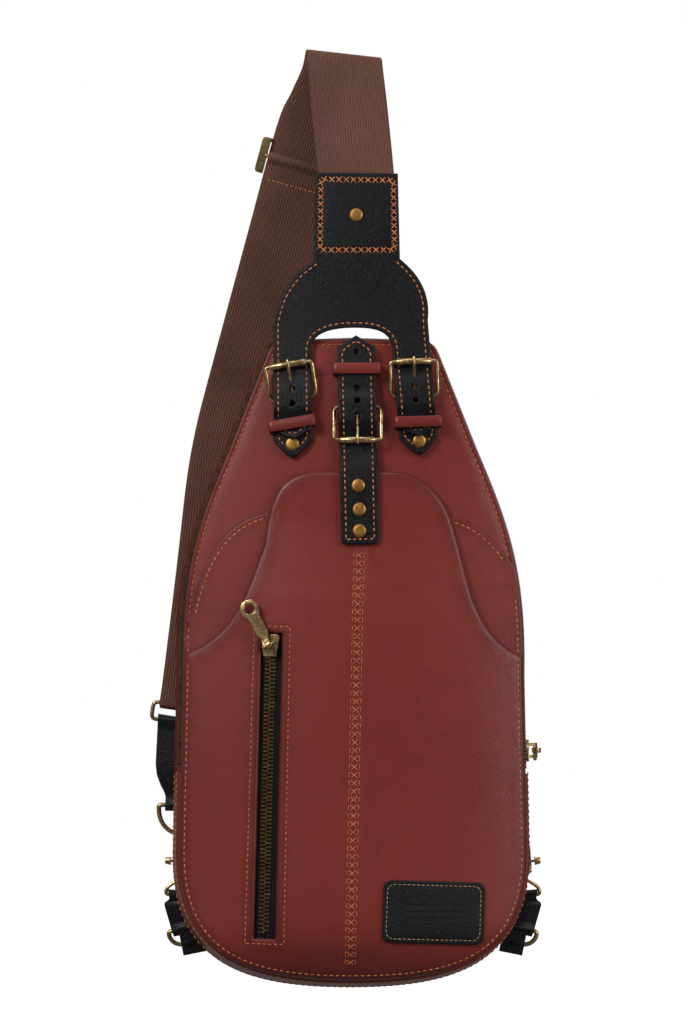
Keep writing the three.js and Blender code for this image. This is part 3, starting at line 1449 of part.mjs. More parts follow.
// ---------------------------------------------------------------- assembly
addBody();
addPocket();
addFrontZip();
addZipSlider("main_zip", mainSliderFrame(), Math.PI);
for (const prefix of ["left", "right", "center"]) {
  addBuckle(prefix);
  addChape(prefix);
}
for (const prefix of ["left", "right"]) {
  addPart(`${prefix}_rivet`, rivet(...rivetPlace(prefix), chapeOuter, 2.2), brass());
}
const keeperTop = chapeOuter + gap + strapLeather + 0.9;
addKeeper("left", -12.5, 0.17, keeperTop);
addKeeper("right", -13.2, 0.03, keeperTop);
addKeeper("center", 19, 0.0, keeperTop);
addYoke();
addCentreStrap();
addPatch();
addWebbing();
addTail();
addStrapSlider();
addStrapRing();
addEndTab();
addStrapDRing();
for (const [prefix, side] of [["left", -1], ["right", 1]]) {
  addSnap(prefix, side);
  addCorner(prefix, side);
}

// The origin goes to the hang point inside the top fold.
const hangPoint = vec(foldX, foldFrontY + 1.6, foldZ - 2.3);
const slingBag = new THREE.Group();
bag.position.copy(hangPoint).negate();
slingBag.add(bag);

export default slingBag;
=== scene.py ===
# %% [markdown]
# # Leather sling bag
#
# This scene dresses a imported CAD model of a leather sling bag. The CAD gives every piece its place and
# its joint. Here each leather, webbing, zip and brass piece gets its real surface: rounded leather
# edges, stitches, zip teeth, woven webbing and worn brass.
#
# The lesson works in millimetres in the bag's own drawing, with the bag's bottom edge near zero, and
# moves each finished piece into the model's frame in metres.

# %% Load the frame
import json
import math

import bpy
import numpy as np
from mathutils.geometry import delaunay_2d_cdt
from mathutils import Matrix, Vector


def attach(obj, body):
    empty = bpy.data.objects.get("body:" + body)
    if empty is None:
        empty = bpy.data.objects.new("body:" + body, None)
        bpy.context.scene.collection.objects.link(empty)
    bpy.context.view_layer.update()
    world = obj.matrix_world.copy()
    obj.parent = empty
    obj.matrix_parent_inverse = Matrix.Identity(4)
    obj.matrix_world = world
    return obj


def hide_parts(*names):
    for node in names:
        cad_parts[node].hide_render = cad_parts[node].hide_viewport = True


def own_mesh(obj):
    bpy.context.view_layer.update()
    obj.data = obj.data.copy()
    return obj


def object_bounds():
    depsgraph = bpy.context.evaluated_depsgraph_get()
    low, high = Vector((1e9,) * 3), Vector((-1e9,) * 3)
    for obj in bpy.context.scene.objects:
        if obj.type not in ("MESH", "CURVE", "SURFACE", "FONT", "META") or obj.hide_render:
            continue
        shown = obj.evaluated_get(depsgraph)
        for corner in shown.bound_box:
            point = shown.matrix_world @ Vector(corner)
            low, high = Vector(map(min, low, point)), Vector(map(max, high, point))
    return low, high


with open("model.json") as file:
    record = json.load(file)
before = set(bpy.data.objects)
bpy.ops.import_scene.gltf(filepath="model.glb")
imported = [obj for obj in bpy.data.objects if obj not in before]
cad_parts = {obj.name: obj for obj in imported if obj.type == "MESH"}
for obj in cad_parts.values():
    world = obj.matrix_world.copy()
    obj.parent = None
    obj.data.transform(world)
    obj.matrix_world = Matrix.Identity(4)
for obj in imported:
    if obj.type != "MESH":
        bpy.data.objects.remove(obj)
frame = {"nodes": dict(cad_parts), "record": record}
cad_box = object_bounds()
BODY_OF = {node: body for body, nodes in frame["record"]["behaviour"]["bodies"].items() for node in nodes}
MM = 0.001
HANG = np.array([-4.2, 4.2, 468.0])

# %% [markdown]
# ## Node trees
#
# A finish is a small network of nodes. Writing each link by hand is slow to read, so these helpers
# make a node, set its values and join its sockets in one line.

# %% Node helpers
def node(tree, kind, values=None, **settings):
    """A new node with its settings, and its input sockets set or linked by name or number."""
    made = tree.nodes.new(kind)
    for key, value in settings.items():
        setattr(made, key, value)
    for key, value in (values or {}).items():
        if isinstance(value, bpy.types.NodeSocket):
            tree.links.new(value, made.inputs[key])
        else:
            made.inputs[key].default_value = value
    return made


def math_node(tree, operation, first, second=0.0, clamp=False):
    """One arithmetic step between two sockets or numbers."""
    made = node(tree, "ShaderNodeMath", {0: first, 1: second}, operation=operation, use_clamp=clamp)
    return made.outputs[0]


def mix_color(tree, share, first, second):
    """A colour part of the way from the first to the second."""
    return node(tree, "ShaderNodeMix", {"Factor": share, 6: first, 7: second}, data_type="RGBA").outputs[2]


def ramp(tree, value, low, high, start=0.0, end=1.0):
    """A value stretched so that low becomes start and high becomes end, and held there."""
    return node(tree, "ShaderNodeMapRange", {0: value, 1: low, 2: high, 3: start, 4: end}).outputs[0]


def noise(tree, place, scale, detail=4.0):
    """Soft random clouds from 0 to 1. Scale is clouds to the metre."""
    return node(tree, "ShaderNodeTexNoise", {"Vector": place, "Scale": scale, "Detail": detail,
                                             "Roughness": 0.55}).outputs["Fac"]


def object_place(tree):
    """Each point's place on the object, in metres."""
    return node(tree, "ShaderNodeTexCoord").outputs["Object"]


def attribute(tree, name):
    """A number stored on the mesh."""
    return node(tree, "ShaderNodeAttribute", attribute_name=name).outputs["Fac"]


def srgb(red, green, blue):
    """A colour picked on a screen, 0 to 255, as the linear colour that shaders use."""
    parts = np.array([red, green, blue]) / 255
    linear = np.where(parts <= 0.04045, parts / 12.92, ((parts + 0.055) / 1.055) ** 2.4)
    return (*linear.tolist(), 1.0)


def new_material(name, sheen=0.0, coat=0.0, specular=0.5, metal=0.0):
    """A material with one Principled shader. Values that never vary are set on the shader itself."""
    material = bpy.data.materials.new(name)
    material.use_nodes = True
    shader = material.node_tree.nodes["Principled BSDF"]
    shader.inputs["Sheen Weight"].default_value = sheen
    shader.inputs["Coat Weight"].default_value = coat
    shader.inputs["Coat Roughness"].default_value = 0.3
    shader.inputs["Specular IOR Level"].default_value = specular
    shader.inputs["Metallic"].default_value = metal
    return material, material.node_tree, shader


def feed(tree, shader, color, roughness, height, distance):
    """Joins colour and roughness to the shader, and a height through a Bump node of that distance."""
    tree.links.new(color, shader.inputs["Base Color"])
    tree.links.new(roughness, shader.inputs["Roughness"])
    bump = node(tree, "ShaderNodeBump", {"Height": height, "Distance": distance, "Strength": 1.0})
    tree.links.new(bump.outputs[0], shader.inputs["Normal"])


# %% [markdown]
# ## Shared effects
#
# One effect comes back in several finishes. Leather grain is a net of fine creases with broad cloudy
# tone, used for the burgundy hide, the black hide and the name patch. It is a node group, built once
# and placed with its own values.

# %% Shared node group
def group_with(name, inputs, outputs):
    """An empty node group with named sockets, each a label and a kind."""
    group = bpy.data.node_groups.new(name, "ShaderNodeTree")
    for way, sockets in (("INPUT", inputs), ("OUTPUT", outputs)):
        for label, kind in sockets:
            group.interface.new_socket(name=label, in_out=way, socket_type=kind)
    return group, group.nodes.new("NodeGroupInput"), group.nodes.new("NodeGroupOutput")


def leather_grain_group():
    """Clouds: broad tone. Height: the hide's pebbles, as the edge distance of bent Voronoi cells, and
    its pores. Pull: stretched patches a few centimetres wide."""
    group, given, result = group_with(
        "leather_grain",
        [("Place", "NodeSocketVector"), ("Pebble", "NodeSocketFloat"), ("Cloud", "NodeSocketFloat")],
        [("Clouds", "NodeSocketFloat"), ("Height", "NodeSocketFloat"), ("Pull", "NodeSocketFloat")])
    place = given.outputs["Place"]
    clouds = node(group, "ShaderNodeTexNoise",
                  {"Vector": place, "Scale": given.outputs["Cloud"], "Detail": 5.0})
    warp = node(group, "ShaderNodeTexNoise", {"Vector": place, "Scale": 260.0, "Detail": 2.0})
    moved = node(group, "ShaderNodeVectorMath", {0: warp.outputs["Color"], 3: 0.0016}, operation="SCALE")
    bent = node(group, "ShaderNodeVectorMath", {0: place, 1: moved.outputs[0]}, operation="ADD")
    cells = node(group, "ShaderNodeTexVoronoi", {"Vector": bent.outputs[0], "Scale": given.outputs["Pebble"]},
                 feature="DISTANCE_TO_EDGE")
    pebbles = ramp(group, cells.outputs["Distance"], 0.0, 0.22)
    pores = node(group, "ShaderNodeTexNoise", {"Vector": place, "Scale": 2600.0, "Detail": 2.0})
    height = math_node(group, "ADD", math_node(group, "MULTIPLY", pebbles, 0.6),
                       math_node(group, "MULTIPLY", pores.outputs["Fac"], 0.4))
    pull = node(group, "ShaderNodeTexNoise",
                {"Vector": place, "Scale": 45.0, "Detail": 3.0, "Distortion": 1.2})
    group.links.new(clouds.outputs["Fac"], result.inputs["Clouds"])
    group.links.new(height, result.inputs["Height"])
    group.links.new(pull.outputs["Fac"], result.inputs["Pull"])
    return group


LEATHER_GRAIN = leather_grain_group()


def grain_of(tree, pebble, cloud):
    """Places the grain group in a material and returns its outputs."""
    made = node(tree, "ShaderNodeGroup", node_tree=LEATHER_GRAIN)
    tree.links.new(object_place(tree), made.inputs["Place"])
    made.inputs["Pebble"].default_value = pebble
    made.inputs["Cloud"].default_value = cloud
    return made.outputs


print("node group:", LEATHER_GRAIN.name)

# %% [markdown]
# ## Leather
#
# The burgundy hide is smooth, pulled over the bag and waxed: broad soft shine and faint clouds of tone.
# Each leather mesh stores the attribute *edge*, which is greatest at the cut edge and falls to nothing
# within a few millimetres, and the material darkens there: partly a burnished edge, partly painted
# shade where the rounded and turned edges turn away from the light.

# %% Leather materials
def leather(name, deep, main, light, roughness, pebble, bump, burnish_and_shade, edge_share, coat, specular):
    """Tone runs from deep to light with the clouds, then darkens at the edge: burnish and painted shade."""
    material, tree, shader = new_material(name, coat=coat, specular=specular)
    grain = grain_of(tree, pebble, 11.0)
    tone = ramp(tree, grain["Clouds"], 0.3, 0.7)
    color = mix_color(tree, tone, main, light)
    color = mix_color(tree, ramp(tree, grain["Pull"], 0.5, 0.75, 0.0, 0.2), color, deep)
    color = mix_color(tree, ramp(tree, grain["Height"], 0.2, 0.6, 0.25, 0.0), color, deep)
    # The edge darkening, scaled by rubbed, is partly burnish and partly painted shade.
    edge = attribute(tree, "edge")
    rubbed = ramp(tree, grain["Pull"], 0.3, 0.6, 0.65 * edge_share, edge_share)
    color = mix_color(tree, math_node(tree, "MULTIPLY", edge, rubbed, clamp=True), color, burnish_and_shade)
    dull = math_node(tree, "ADD", ramp(tree, grain["Clouds"], 0.3, 0.7, roughness - 0.05, roughness + 0.06),
                     ramp(tree, grain["Height"], 0.1, 0.7, 0.08, 0.0))
    height = math_node(tree, "ADD", grain["Height"], math_node(tree, "MULTIPLY", grain["Pull"], 1.4))
    feed(tree, shader, color, dull, height, distance=bump)
    return material


RED_LEATHER = leather("red_leather", srgb(92, 32, 29), srgb(131, 48, 42), srgb(142, 55, 48), 0.34, 1100.0,
                      0.00004, srgb(66, 22, 22), edge_share=0.62, coat=0.1, specular=0.3)
BLACK_LEATHER = leather("black_leather", srgb(5, 5, 7), srgb(15, 16, 20), srgb(25, 26, 31), 0.4, 700.0,
                        0.00012, srgb(10, 10, 12), edge_share=1.0, coat=0.04, specular=0.25)


PATCH_AT = np.array([39.8, 42.5])
PATCH_MIDDLE = (PATCH_AT - HANG[[0, 2]]) * MM


def pressed_bars(tree, place):
    """A die's mark: three long bars, a wave along z cut off at a height, within a box at the middle."""
    parts = node(tree, "ShaderNodeSeparateXYZ", {0: place})
    x = math_node(tree, "SUBTRACT", parts.outputs[0], float(PATCH_MIDDLE[0]))
    z = math_node(tree, "SUBTRACT", parts.outputs[2], float(PATCH_MIDDLE[1]))
    wave = math_node(tree, "COSINE", math_node(tree, "MULTIPLY", z, 2 * math.pi / 0.0034))
    bars = ramp(tree, wave, -0.1, 0.3)
    wide = ramp(tree, math_node(tree, "ABSOLUTE", x), 0.0142, 0.0136)
    tall = ramp(tree, math_node(tree, "ABSOLUTE", z), 0.0051, 0.0048)
    return math_node(tree, "MULTIPLY", bars, math_node(tree, "MULTIPLY", wide, tall))


def emboss_leather():
    """The name patch: black leather with a plain pressed relief of three bars."""
    material, tree, shader = new_material("patch_leather", coat=0.04, specular=0.25)
    grain = grain_of(tree, 700.0, 20.0)
    color = mix_color(tree, ramp(tree, grain["Clouds"], 0.35, 0.65), srgb(13, 14, 18), srgb(25, 27, 31))
    pressed = math_node(tree, "MULTIPLY", pressed_bars(tree, object_place(tree)), -1.6)
    feed(tree, shader, color, ramp(tree, grain["Clouds"], 0.3, 0.7, 0.4, 0.5),
         math_node(tree, "ADD", grain["Height"], pressed), distance=0.00018)
    return material


PATCH_LEATHER = emboss_leather()
print("leather finishes:", RED_LEATHER.name, BLACK_LEATHER.name, PATCH_LEATHER.name)

# %% [markdown]
# ## Webbing, tape and thread
#
# The shoulder strap is woven in lengthwise ribs a little over a millimetre wide, with fine weft
# threads across. Its mesh carries a UV map in metres, across and along, so the ribs follow the strap
# round every bend. The zip tape is a tight twill. The thread is a glossy twisted polyester.

# %% Cloth materials
def woven(name, dark, light, rib, weft, rib_depth, roughness, sheen):
    """Ribs: a sine across. Wefts: a sine along, shifted half a step on every other rib."""
    material, tree, shader = new_material(name, sheen=sheen, specular=0.3)
    uv = node(tree, "ShaderNodeUVMap", uv_map="metres").outputs[0]
    parts = node(tree, "ShaderNodeSeparateXYZ", {0: uv})
    across = math_node(tree, "MULTIPLY", parts.outputs[0], 2 * math.pi / rib)
    along = math_node(tree, "MULTIPLY", parts.outputs[1], 2 * math.pi / weft)
    ribs = math_node(tree, "ADD", math_node(tree, "MULTIPLY", math_node(tree, "COSINE", across), 0.5), 0.5)
    shift = math_node(tree, "MULTIPLY", math_node(tree, "SIGN", math_node(tree, "SINE",
                      math_node(tree, "MULTIPLY", across, 0.5))), math.pi / 2)
    wefts = math_node(tree, "ADD", math_node(tree, "MULTIPLY",
                      math_node(tree, "SINE", math_node(tree, "ADD", along, shift)), 0.5), 0.5)
    place = object_place(tree)
    fuzz = noise(tree, place, 2200.0, 3.0)
    broad = noise(tree, place, 30.0, 4.0)
    tone = math_node(tree, "ADD", math_node(tree, "MULTIPLY", ribs, 0.42),
                     math_node(tree, "MULTIPLY", wefts, 0.42))
    tone = math_node(tree, "ADD", tone, ramp(tree, fuzz, 0.3, 0.7, -0.18, 0.18), clamp=True)
    color = mix_color(tree, tone, dark, light)
    color = mix_color(tree, ramp(tree, broad, 0.42, 0.65, 0.0, 0.3), color, dark)
    height = math_node(tree, "ADD", ribs, math_node(tree, "MULTIPLY", wefts, 0.45))
    height = math_node(tree, "ADD", height, math_node(tree, "MULTIPLY", fuzz, 0.25))
    feed(tree, shader, color, ramp(tree, fuzz, 0.2, 0.8, roughness - 0.08, roughness + 0.08), height,
         distance=rib_depth)
    return material


WEBBING = woven("webbing_cloth", srgb(76, 46, 37), srgb(148, 100, 82), 0.00135, 0.0012, 0.00022, 0.75, 0.08)
ZIP_TAPE = woven("zip_tape_cloth", srgb(9, 9, 10), srgb(30, 30, 32), 0.0009, 0.0008, 0.00012, 0.8, 0.1)
LINING = woven("lining_cloth", srgb(38, 34, 32), srgb(66, 60, 56), 0.0008, 0.0008, 0.00008, 0.85, 0.1)


def thread(name, dark, light):
    """Twisted thread: the tone wanders a little from stitch to stitch."""
    material, tree, shader = new_material(name, sheen=0.2)
    place = object_place(tree)
    color = mix_color(tree, ramp(tree, noise(tree, place, 420.0, 3.0), 0.3, 0.7), dark, light)
    feed(tree, shader, color, ramp(tree, noise(tree, place, 900.0), 0.3, 0.7, 0.45, 0.65),
         noise(tree, place, 3200.0, 2.0), distance=0.00008)
    return material


ORANGE_THREAD = thread("orange_thread", srgb(186, 92, 34), srgb(236, 148, 74))
RUST_THREAD = thread("rust_thread", srgb(170, 82, 42), srgb(218, 124, 72))
TAN_THREAD = thread("tan_thread", srgb(140, 110, 80), srgb(196, 164, 124))
print("cloth finishes:", WEBBING.name, ZIP_TAPE.name, LINING.name, ORANGE_THREAD.name)

# %% [markdown]
# ## Antique brass
#
# The fittings are plated brass, aged in a bath and then tumbled, so that dark and rubbed patches lie
# side by side. Clouds of noise choose between the tones, and the darker patches are duller.

# %% Brass materials
def old_brass(name, dark, main, bright, roughness):
    """Clouds go from dark to the main tone, and smaller ones are rubbed bright."""
    material, tree, shader = new_material(name, metal=1.0)
    place = object_place(tree)
    clouds = noise(tree, place, 240.0, 5.0)
    pits = noise(tree, place, 1500.0, 3.0)
    color = mix_color(tree, ramp(tree, clouds, 0.32, 0.62), dark, main)
    color = mix_color(tree, ramp(tree, noise(tree, place, 520.0, 4.0), 0.52, 0.72, 0.0, 0.75), color, bright)
    dull = math_node(tree, "ADD", ramp(tree, clouds, 0.3, 0.7, roughness + 0.1, roughness - 0.04),
                     ramp(tree, pits, 0.3, 0.7, -0.04, 0.06))
    feed(tree, shader, color, dull, math_node(tree, "ADD", clouds, pits), distance=0.00005)
    return material


BRASS = old_brass("antique_brass_worn", srgb(128, 102, 62), srgb(206, 176, 122), srgb(240, 222, 184), 0.28)
YELLOW_BRASS = old_brass("rivet_brass", srgb(140, 96, 44), srgb(190, 140, 74), srgb(214, 170, 104), 0.42)
TOOTH_BRASS = old_brass("tooth_brass", srgb(92, 66, 40), srgb(150, 116, 72), srgb(196, 160, 108), 0.34)
print("metal finishes:", BRASS.name, YELLOW_BRASS.name, TOOTH_BRASS.name)

# %% [markdown]
# ## Making meshes from arrays
#
# Every new piece is worked out as whole arrays of points. These helpers put such arrays into a mesh,
# move it to the model's frame, give it its finish and its body, and hide the CAD node it stands for
# unless it rides on another body.

# %% From arrays to a piece
def finish_piece(thing, stands_for, rides=None):
    """Rides on the body of the CAD node it stands for, or on the body named in rides."""
    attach(thing, rides or BODY_OF[stands_for[0]])
    if rides is None:
        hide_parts(*stands_for)
    return thing


def make_piece(name, points, faces, material, stands_for, rides=None, smooth=50, edge=None, uv=None):
    """points: n x 3 in drawing millimetres. faces: lists of corners, outward counter-clockwise.
    edge: one number per point. uv: one pair in metres per point."""
    mesh = bpy.data.meshes.new(name)
    spots = (np.asarray(points) - HANG) * MM
    mesh.from_pydata(spots.tolist(), [], [list(map(int, face)) for face in faces])
    if edge is not None:
        mesh.attributes.new("edge", "FLOAT", "POINT").data.foreach_set("value", np.asarray(edge, np.float32))
    if uv is not None:
        corners = np.empty(len(mesh.loops), np.int32)
        mesh.loops.foreach_get("vertex_index", corners)
        layer = mesh.uv_layers.new(name="metres")
        layer.data.foreach_set("uv", np.asarray(uv, np.float32)[corners].ravel())
    mesh.shade_smooth()
    mesh.set_sharp_from_angle(angle=math.radians(smooth))
    mesh.materials.append(material)
    mesh.update()
    thing = bpy.data.objects.new(name, mesh)
    bpy.context.scene.collection.objects.link(thing)
    return finish_piece(thing, stands_for, rides)


def tube_faces(rows, around, closed=False, flip=False):
    """Quads round a tube, given as rows of points, and a many-sided face on each open end."""
    i, k = np.meshgrid(np.arange(rows if closed else rows - 1), np.arange(around), indexing="ij")
    j, m = (i + 1) % rows, (k + 1) % around
    quads = np.stack([i * around + k, i * around + m, j * around + m, j * around + k], 2).reshape(-1, 4)
    first = np.arange(around)
    last = first + (rows - 1) * around
    if flip:
        ends = [first, last[::-1]]
        quads = quads[:, [0, 3, 2, 1]]
    else:
        ends = [first[::-1], last]
    return quads.tolist() + ([] if closed else [end.tolist() for end in ends])


def outward_faces(points, faces):
    """The faces, all turned round if the closed shape they make has a negative volume."""
    points = np.asarray(points)
    volume = 0.0
    for face in faces:
        if len(face) <= 4:
            a, b, c = points[face[0]], points[face[1]], points[face[2]]
            volume += np.dot(a, np.cross(b, c))
            if len(face) == 4:
                volume += np.dot(a, np.cross(c, points[face[3]]))
    return faces if volume > 0 else [list(face)[::-1] for face in faces]


def finer_copy(node_name, material, bevel):
    """A CAD node's mesh copied and merged, its hard edges eased with a Bevel of that width in mm."""
    source = frame["nodes"][node_name]
    mesh = source.data.copy()
    mesh.name = node_name + "_eased"
    thing = bpy.data.objects.new(node_name + "_eased", mesh)
    bpy.context.scene.collection.objects.link(thing)
    weld = thing.modifiers.new("weld", "WELD")
    weld.merge_threshold = 0.000005
    ease = thing.modifiers.new("ease", "BEVEL")
    ease.width = bevel * MM
    ease.segments = 2
    ease.limit_method = "ANGLE"
    ease.angle_limit = math.radians(30)
    mesh.materials.clear()
    mesh.materials.append(material)
    mesh.shade_smooth()
    mesh.set_sharp_from_angle(angle=math.radians(70))
    return finish_piece(thing, [node_name])


# %% Lines and outlines
def run_of(start, *moves, count=14):
    """A line through given moves: one point is straight, two are a quadratic and three a cubic curve."""
    t = np.linspace(0, 1, count + 1)[1:, None]
    found = [np.array([start], float)]
    for move in moves:
        p = [found[-1][-1], *np.array(move, float).reshape(-1, 2)]
        if len(p) == 2:
            found.append(p[1][None])
        elif len(p) == 3:
            found.append((1 - t) ** 2 * p[0] + 2 * t * (1 - t) * p[1] + t ** 2 * p[2])
        else:
            found.append((1 - t) ** 3 * p[0] + 3 * t * (1 - t) ** 2 * p[1] + 3 * t ** 2 * (1 - t) * p[2]
                         + t ** 3 * p[3])
    return np.concatenate(found)


def evenly(line, step, closed=False, keep=35):
    """The line with points about a step apart. Corners sharper than keep degrees stay where they are."""
    line = np.vstack([line, line[:1]]) if closed else np.asarray(line, float)
    line = line[np.r_[True, np.linalg.norm(np.diff(line, axis=0), axis=1) > 1e-6]]
    runs = np.diff(line, axis=0)
    lengths = np.linalg.norm(runs, axis=1)
    way = np.r_[0, np.cumsum(lengths)]
    heading = runs / lengths[:, None]
    turn = np.einsum("ij,ij->i", heading[:-1], heading[1:])
    corners = np.r_[0, 1 + np.flatnonzero(turn < math.cos(math.radians(keep))), len(line) - 1]
    marks = [np.linspace(way[a], way[b], max(int(round((way[b] - way[a]) / step)), 1), endpoint=False)
             for a, b in zip(corners[:-1], corners[1:])]
    marks = np.concatenate(marks + ([] if closed else [way[-1:]]))
    return np.stack([np.interp(marks, way, line[:, k]) for k in range(line.shape[1])], 1)


def headings(line, closed=False):
    """Unit direction along the line at each point, from its two neighbours."""
    if closed:
        along = np.roll(line, -1, 0) - np.roll(line, 1, 0)
    else:
        along = np.gradient(line, axis=0)
    return along / np.linalg.norm(along, axis=1)[:, None]


def offset_in(line, distance, closed=True):
    """The line moved to its left, which is inwards on an outline drawn counter-clockwise."""
    along = headings(line, closed)
    return line + distance * np.stack([-along[:, 1], along[:, 0]], 1)


def distance_to(points, *lines):
    """Shortest distance from each point to the segments of the lines."""
    best = np.full(len(points), 1e9)
    for line in lines:
        start, run = line[:-1], np.diff(line, axis=0)
        size = np.maximum((run ** 2).sum(1), 1e-12)
        for part in np.array_split(np.arange(len(points)), max(len(points) * len(run) // 2000000, 1)):
            gap = points[part, None] - start[None]
            t = np.clip((gap * run).sum(2) / size, 0, 1)
            near = np.sqrt(((gap - t[..., None] * run) ** 2).sum(2)).min(1)
            best[part] = np.minimum(best[part], near)
    return best


def inside(points, outline):
    """Whether each point lies inside the closed outline: an odd number of edges lie to its right."""
    a, b = outline, np.roll(outline, -1, 0)
    x, z = points[:, 0, None], points[:, 1, None]
    crosses = (a[:, 1] > z) != (b[:, 1] > z)
    rise = np.where(b[:, 1] == a[:, 1], 1e-9, b[:, 1] - a[:, 1])
    return (crosses & (x < a[:, 0] + (z - a[:, 1]) * (b[:, 0] - a[:, 0]) / rise)).sum(1) % 2 == 1


def closed_line(outline):
    return np.vstack([outline, outline[:1]])


# %% [markdown]
# ## The front surface
#
# The front of the bag is one gently crowned surface, and almost every leather piece lies on it at its
# own height. So a sheet of leather is an outline in the XZ plane plus two heights above this surface.
# The surface and the outline are the same ones the CAD uses.

# %% The bag's front surface and outline
BAG_TOP, SIDE_X, BACK_Y = 327.0, 86.5, 30.0
LOW_EDGE_Y, TOP_EDGE_Y, CROWN, TURN = -22.0, 3.0, 12.0, 38.0
HIDE, POCKET_HIDE, STRAP_HIDE, CLEAR = 2.0, 1.6, 1.7, 0.35


def front_y(x, z):
    """A plane leaning back to the top, less a crown that is full between its low turn and z = 240."""
    edge = LOW_EDGE_Y + (TOP_EDGE_Y - LOW_EDGE_Y) * (z - 8) / (BAG_TOP - 8)
    low = np.clip((TURN - z) / (TURN - 8), 0, 1.1)
    high = np.clip((z - 240) / (BAG_TOP - 240), 0, 1)
    return edge - CROWN * (1 - low ** 2) * (1 - 0.25 * high ** 2) * (1 - (x / 90) ** 2)


def slopes(x, z, height=None):
    """Outward unit normals of the front surface raised by height(x, z), from central differences."""
    def y(x, z):
        return front_y(x, z) - (height(x, z) if height else 0.0)
    across = (y(x + 1, z) - y(x - 1, z)) / 2
    up = (y(x, z + 1) - y(x, z - 1)) / 2
    normal = np.stack([across, -np.ones_like(across), up], 1)
    return normal / np.linalg.norm(normal, axis=1)[:, None]


def bag_outline(step=2.0):
    """Counter-clockwise from the bottom centre: a half outline and its mirror image."""
    half = run_of((0, 8), (50, 8, SIDE_X, 18, SIDE_X, 71), (SIDE_X - 1.7, 160),
                  (SIDE_X - 0.5, 212, SIDE_X - 9.5, 236, 62, 271), (42.5, BAG_TOP - 7),
                  (40.5, BAG_TOP - 1.5, 35, BAG_TOP - 1), (0, BAG_TOP), count=24)
    whole = np.vstack([half, (half * [-1, 1])[-2:0:-1]])
    return evenly(whole, step, closed=True)


OUTLINE = bag_outline()


def swell(x, z):
    """How far the pocket stands off: full in the middle, none at the sewn edge."""
    across = 1 - np.minimum(np.abs(x) / 88, 1) ** 6
    return 2.8 * across * np.clip((z - 8) / 18, 0, 1) * np.clip((236 - z) / 40, 0, 1)


def pocket_inner(x, z):
    return 2 * CLEAR + POCKET_HIDE + swell(x, z)


def pocket_outer(x, z):
    return pocket_inner(x, z) + POCKET_HIDE


def level(height):
    """A height that is the same everywhere."""
    return lambda x, z: np.full_like(np.asarray(x, float), height)


print("outline:", len(OUTLINE), "points,", np.ptp(OUTLINE[:, 0]), "by", np.ptp(OUTLINE[:, 1]), "mm")

# %% [markdown]
# ## A sheet of leather
#
# Leather is about two millimetres thick, and its cut edges are rounded; near them the colour darkens,
# partly burnish and partly painted shade. A sheet is meshed by a constrained Delaunay triangulation:
# the outline, a few rows of points close to the edge where the round happens, rows beside each seam
# where the stitches pull the leather down, and a loose grid over the rest. Then both faces get their
# heights, and a wall closes the edge.

# %% Leather sheets
def spread_points(outline, holes, spacing, rows, seams):
    """Free points: rows at set distances inside the edges and beside the seams, then an even grid."""
    rims = [closed_line(line) for line in (outline, *holes)]
    free = []
    for distance in rows:
        for line, sign in [(outline, 1), *[(hole, -1) for hole in holes]]:
            free.append((offset_in(line, sign * distance), distance * 0.94))
    for seam in seams:
        for side in (-0.75, 0.0, 0.75):
            free.append((offset_in(seam, side, closed=False), rows[-1] * 0.3))
    low, high = outline.min(0), outline.max(0)
    xs, zs = (np.arange(low[k] + spacing / 2, high[k], spacing) for k in (0, 1))
    grid = np.stack(np.meshgrid(xs, zs), 2)
    grid[1::2, :, 0] += spacing / 2
    free.append((grid.reshape(-1, 2), rows[-1] + spacing * 0.5))
    kept = []
    for points, least in free:
        good = inside(points, outline)
        for hole in holes:
            good &= ~inside(points, hole)
        points = points[good]
        points = points[distance_to(points, *rims) > least]
        kept.append(points)
    if seams:
        kept[-1] = kept[-1][distance_to(kept[-1], *seams) > 1.4]
    return np.concatenate(kept)


def triangulated(outline, holes, free):
    """Triangles over the points, counter-clockwise, inside the outline and outside the holes."""
    rims = [outline, *holes]
    points = np.concatenate([*rims, free])
    edges, first = [], 0
    for line in rims:
        ring = np.arange(first, first + len(line))
        edges.append(np.stack([ring, np.roll(ring, -1)], 1))
        first += len(line)
    made = delaunay_2d_cdt([tuple(p) for p in points.tolist()], np.concatenate(edges).tolist(), [], 0, 1e-5)
    spots = np.array([tuple(p) for p in made[0]])
    faces = np.array(made[2])
    middle = spots[faces].mean(1)
    good = inside(middle, outline)
    for hole in holes:
        good &= ~inside(middle, hole)
    faces = faces[good]
    a, b, c = (spots[faces[:, k]] for k in range(3))
    area = (b - a)[:, 0] * (c - a)[:, 1] - (b - a)[:, 1] * (c - a)[:, 0]
    faces = faces[np.abs(area) > 1e-7]
    area = area[np.abs(area) > 1e-7]
    faces[area < 0] = faces[area < 0][:, ::-1]
    used, back = np.unique(faces, return_inverse=True)
    return spots[used], back.reshape(faces.shape)


def rim_edges(faces):
    """Edges that only one triangle uses, in that triangle's direction."""
    edges = np.concatenate([faces[:, [0, 1]], faces[:, [1, 2]], faces[:, [2, 0]]])
    _, first, count = np.unique(np.sort(edges, 1), axis=0, return_index=True, return_counts=True)
    return edges[first[count == 1]]


